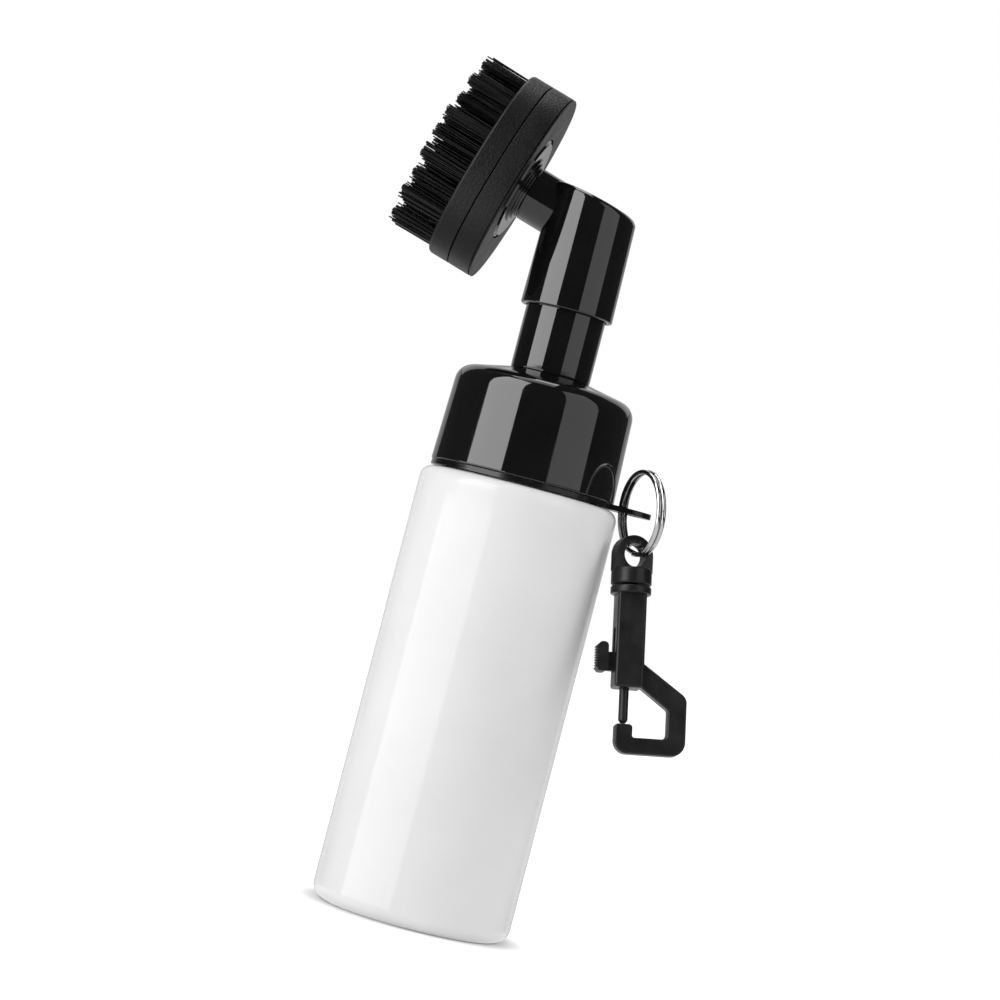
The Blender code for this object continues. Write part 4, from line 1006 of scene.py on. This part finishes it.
for number, across in enumerate(ROWS, start=1):
    places = row_places(across)
    wire = rod("drawing_wire", WIRE, places[0] - OVERHANG, places[-1] + OVERHANG, sides=10)
    seat(wire, Matrix.Translation((0.0, across * MM, WIRE_DEPTH * MM)) @ Matrix.Rotation(math.pi / 2, 4, "Y"))
    pieces = [wire]
    for along in places:
        turn = Matrix.Rotation(random.choice((0.0, math.pi)), 4, "Z")
        place = Matrix.Translation((along * MM, across * MM, ROOT_DEPTH * MM)) @ turn
        pieces.append(copy_of(random.choice(tufts), place))
    row = join(pieces, f"bristles_{number}")
    seat(row, spout_axis)
    dress(row, bristle_black, "brush", f"bristle_row_{number}")
for spare in tufts + [filament]:
    bpy.data.objects.remove(spare)

# %% [markdown]
# ## Split ring
#
# The ring is one wire that runs round almost twice: a flat coil, a short step to the side, and a second coil
# beside it. A curve through the middle of the wire with a round bevel is the natural way to make it. The
# ring hangs in the hole of the tab, turned away from the camera and leaning a little.

# %% Split ring
RING, RING_WIRE, COIL_STEP = 9.55, 0.55, 1.2  # radius of the coils and of the wire, and from coil to coil
RING_LEAN, RING_TURN = math.radians(-9.3), math.radians(-65.5)
RING_START = math.radians(262.0)  # where the wire begins
JOG = 0.08  # share of a turn in which the wire steps to the other coil, hidden behind the eye
RING_POINTS = 220

ring_place = (
    Matrix.Translation((24.4 * MM, 0.0, 103.45 * MM))
    @ Matrix.Rotation(RING_LEAN, 4, "Y")
    @ Matrix.Rotation(RING_TURN, 4, "Z")
)
coil = []
for i in range(RING_POINTS + 1):
    turned_by = (2.0 - JOG) * i / RING_POINTS
    share = min(max((turned_by - (1.0 - JOG)) / JOG, 0.0), 1.0)
    side = COIL_STEP * (share * share * (3.0 - 2.0 * share) - 0.5)
    angle = math.tau * turned_by + RING_START
    coil.append((RING * (1.0 + math.cos(angle)), side, RING * math.sin(angle)))
ring = round_wire("ring_wire", coil, RING_WIRE, resolution=6)
soften_edges(ring, 0.12, segments=2, degrees=60.0)
seat(ring, ring_place)
dress(ring, plated_wire, "ring", "split_ring")

# %% [markdown]
# ## Snap hook
#
# The hook is satin black plastic in three pieces. The eye is an arched plate on a round foot. The body is a
# square barrel that runs out into the hook. The bolt is a pin with a ribbed thumb knob that slides in the
# barrel. Each is made upright at the origin, with the ring's wire at zero, and is then put in its place.

# %% Places of the snap hook
EYE_ON_RING = math.radians(17.0)  # how far round the ring the eye hangs, from its lowest point
HANG_SIDE, HANG_FORWARD = math.radians(-11.6), math.radians(-10.0)
EYE_TURN, HOOK_TURN = math.radians(24.5), math.radians(7.4)

outwards, down = RING * (1.0 - math.sin(EYE_ON_RING)), -RING * math.cos(EYE_ON_RING)
pivot = ring_place @ Vector((outwards * MM, 0.0, down * MM))
hang = Matrix.Translation(pivot) @ Matrix.Rotation(HANG_SIDE, 4, "Y")
hang = hang @ Matrix.Rotation(HANG_FORWARD, 4, "X")
eye_place = hang @ Matrix.Rotation(EYE_TURN, 4, "Z")
hook_place = hang @ Matrix.Rotation(HOOK_TURN, 4, "Z")
on_edge = Matrix.Rotation(math.pi / 2, 4, "X")
print("the eye hangs at", tuple(round(c, 4) for c in pivot))

# %% Swivel eye
HOLE = -0.75  # height of the middle of the hole
EYE, HALF_EYE = 4.65, 1.5  # radius of the arch and half its thickness

eye = rod("eye_arch", EYE, -HALF_EYE, HALF_EYE, 0.0, HOLE, sides=96)
combine(eye, block("eye_legs", (-EYE, -4.6, -HALF_EYE), (EYE, HOLE, HALF_EYE)), "UNION")
combine(eye, rod("eye_hole", 2.75, -3.0, 3.0, 0.0, HOLE, sides=64), "DIFFERENCE")
soften_edges(eye, 0.45, segments=4)
seat(eye, on_edge)
foot = lathe(
    "eye_foot",
    [
        (0.0, -3.95),
        (4.7, -3.95, 0.3),
        (4.7, -7.7, 0.4),
        (1.5, -7.7, 0.2),
        (1.5, -9.9),
        (2.1, -9.9, 0.15),
        (1.5, -11.1, 0.15),
        (0.0, -11.1),
    ],
    steps=96,
    ring=False,
)
combine(eye, foot, "UNION")
smooth(eye)
seat(eye, eye_place)
dress(eye, black_satin, "eye", "swivel_eye")

# %% Hook body
BARREL_TOP, BARREL_END, HOOK_END = -9.2, -31.6, -46.6  # heights below the ring's wire
HALF_BARREL = 3.35
BOLT_SIDE = -0.6  # the bolt runs a little to the side of the barrel's middle


def flat_shape(name, corners, thickness):
    """A flat outline with rounded corners, extruded to a plate that stands on edge in XZ."""
    points = soften(corners, segments=8)
    deselect()
    bpy.ops.mesh.primitive_circle_add(vertices=len(points), radius=1.0, fill_type="NGON")
    made = bpy.context.object
    made.name = name
    for corner, point in zip(made.data.vertices, points):
        corner.co = (point.x * MM, point.y * MM, -thickness / 2 * MM)
    extrude_up(thickness)
    seat(made, on_edge)
    return made


hook = flat_shape(
    "hook_plate",
    [
        (2.55, BARREL_END + 0.6),
        (9.5, BARREL_END - 4.5, 1.0),
        (9.5, HOOK_END + 3.8, 1.3),
        (1.5, HOOK_END + 3.8, 0.5),
        (1.5, HOOK_END + 6.8, 0.8),
        (-2.6, HOOK_END + 6.8, 0.8),
        (-2.6, HOOK_END, 3.0),
        (13.85, HOOK_END, 3.3),
        (13.85, BARREL_END - 1.4, 2.5),
        (2.55, BARREL_END + 6.56),
    ],
    3.3,
)
soften_edges(hook, 0.5, segments=4)
barrel = block(
    "barrel", (-HALF_BARREL, -HALF_BARREL, BARREL_END), (HALF_BARREL, HALF_BARREL, BARREL_TOP + 0.8)
)
soften_edges(barrel, 0.7, segments=5)
combine(barrel, hook, "UNION")
flange = lathe(
    "swivel_flange",
    [(0.0, -8.05), (4.7, -8.05, 0.4), (4.7, -9.9, 0.4), (0.0, -9.9)],
    steps=96,
    ring=False,
)
combine(barrel, flange, "UNION")
combine(barrel, rod("bolt_guide", 1.3, -33.0, -29.0, x=BOLT_SIDE, sides=32), "DIFFERENCE")
combine(barrel, rod("bolt_bore", 1.95, -29.9, -14.3, x=BOLT_SIDE, sides=48), "DIFFERENCE")
combine(barrel, rod("stud_hole", 1.8, -10.7, -6.0, sides=48), "DIFFERENCE")
combine(barrel, rod("stud_chamber", 2.4, -11.4, -9.6, sides=48), "DIFFERENCE")
combine(barrel, block("bolt_slot", (-5.0, -1.2, -28.1), (BOLT_SIDE, 1.2, -17.7)), "DIFFERENCE")
barrel.name = "hook_shell"
smooth(barrel, 40.0)
seat(barrel, hook_place)
dress(barrel, black_satin, "hook", "hook_body")

# %% Slide bolt
bolt_place = hook_place @ Matrix.Translation((BOLT_SIDE * MM, 0.0, 0.0))
bolt = lathe(
    "bolt_pin",
    [
        (0.0, -22.3),
        (1.65, -22.3, 0.2),
        (1.65, -27.8, 0.2),
        (1.1, -27.8),
        (1.1, -38.9, 0.2),
        (0.65, -39.6, 0.2),
        (0.0, -39.5),
    ],
    steps=48,
    ring=False,
)
combine(bolt, block("knob_stem", (-5.0, -0.9, -27.8), (0.0, 0.9, -23.5)), "UNION")

# %% Thumb knob of the bolt
KNOB_LOW, KNOB_HIGH, KNOB_ROOT, KNOB_FACE = -28.1, -21.3, -4.25, -6.3
RIBS, VALLEY, RIDGE = 9, -6.5, -7.05
MARGIN = 0.65  # plain length at each end of the ribs

rib = (KNOB_HIGH - KNOB_LOW - 2 * MARGIN) / RIBS
outline = [(KNOB_ROOT, KNOB_LOW, 1.0), (KNOB_ROOT, KNOB_HIGH, 1.0), (KNOB_FACE, KNOB_HIGH, 0.9)]
for k in range(RIBS):
    top = KNOB_HIGH - MARGIN - k * rib
    outline += [(VALLEY, top, 0.05), (RIDGE, top - rib / 2, 0.08)]
outline.append((KNOB_FACE, KNOB_LOW, 0.9))
knob = flat_shape("knob", outline, 4.0)
soften_edges(knob, 0.12, segments=2, degrees=60.0)
combine(bolt, knob, "UNION")
smooth(bolt, 40.0)
seat(bolt, bolt_place)
dress(bolt, black_satin, "bolt", "slide_bolt")

# %% [markdown]
# ## Springs
#
# Two springs work out of sight: one lifts the pump's piston, and one pushes the bolt shut. They are round
# wires along a helix, made as the thread was. A spring can't stay rigid when its joint moves, so each gets
# a mesh of its own.

# %% Springs
def spring(name, radius, wire, low, high, turns):
    """A coil spring along Z, in millimetres."""
    points = helix(radius, low + wire, rise=high - low - 2 * wire, turns=turns, count=round(turns * 32))
    made = round_wire(name, points, wire)
    smooth(made, 60.0)
    return made


return_spring = spring("pump_spring", radius=4.05, wire=0.45, low=95.0, high=112.6, turns=5)
dress(return_spring, spring_steel, "pump", "return_spring")
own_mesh(return_spring)

FIXED_END = -14.6  # the end of the bolt's spring that rests on the barrel
bolt_spring = spring("hook_spring", radius=1.45, wire=0.2, low=-22.0, high=FIXED_END, turns=4)
seat(bolt_spring, bolt_place)
dress(bolt_spring, spring_steel, "hook", "bolt_spring")
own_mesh(bolt_spring)

# %% [markdown]
# ## Hidden pieces
#
# The rest of the pump is inside the bottle, the collar and the head. Its CAD shapes are right as they are, so
# they stay and only get their finishes.

# %% Finishes for the hidden pieces
hidden = {
    "pump_housing": natural_plastic,
    "housing_cap": natural_plastic,
    "dip_tube": natural_plastic,
    "piston_stem": natural_plastic,
    "neck_gasket": rubber,
    "piston_seal": rubber,
    "spigot_oring": rubber,
    "inlet_ball": spring_steel,
}
for node, paint in hidden.items():
    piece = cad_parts[node]
    piece.data.materials.clear()
    piece.data.materials.append(paint)
print("hidden pieces dressed:", len(hidden))
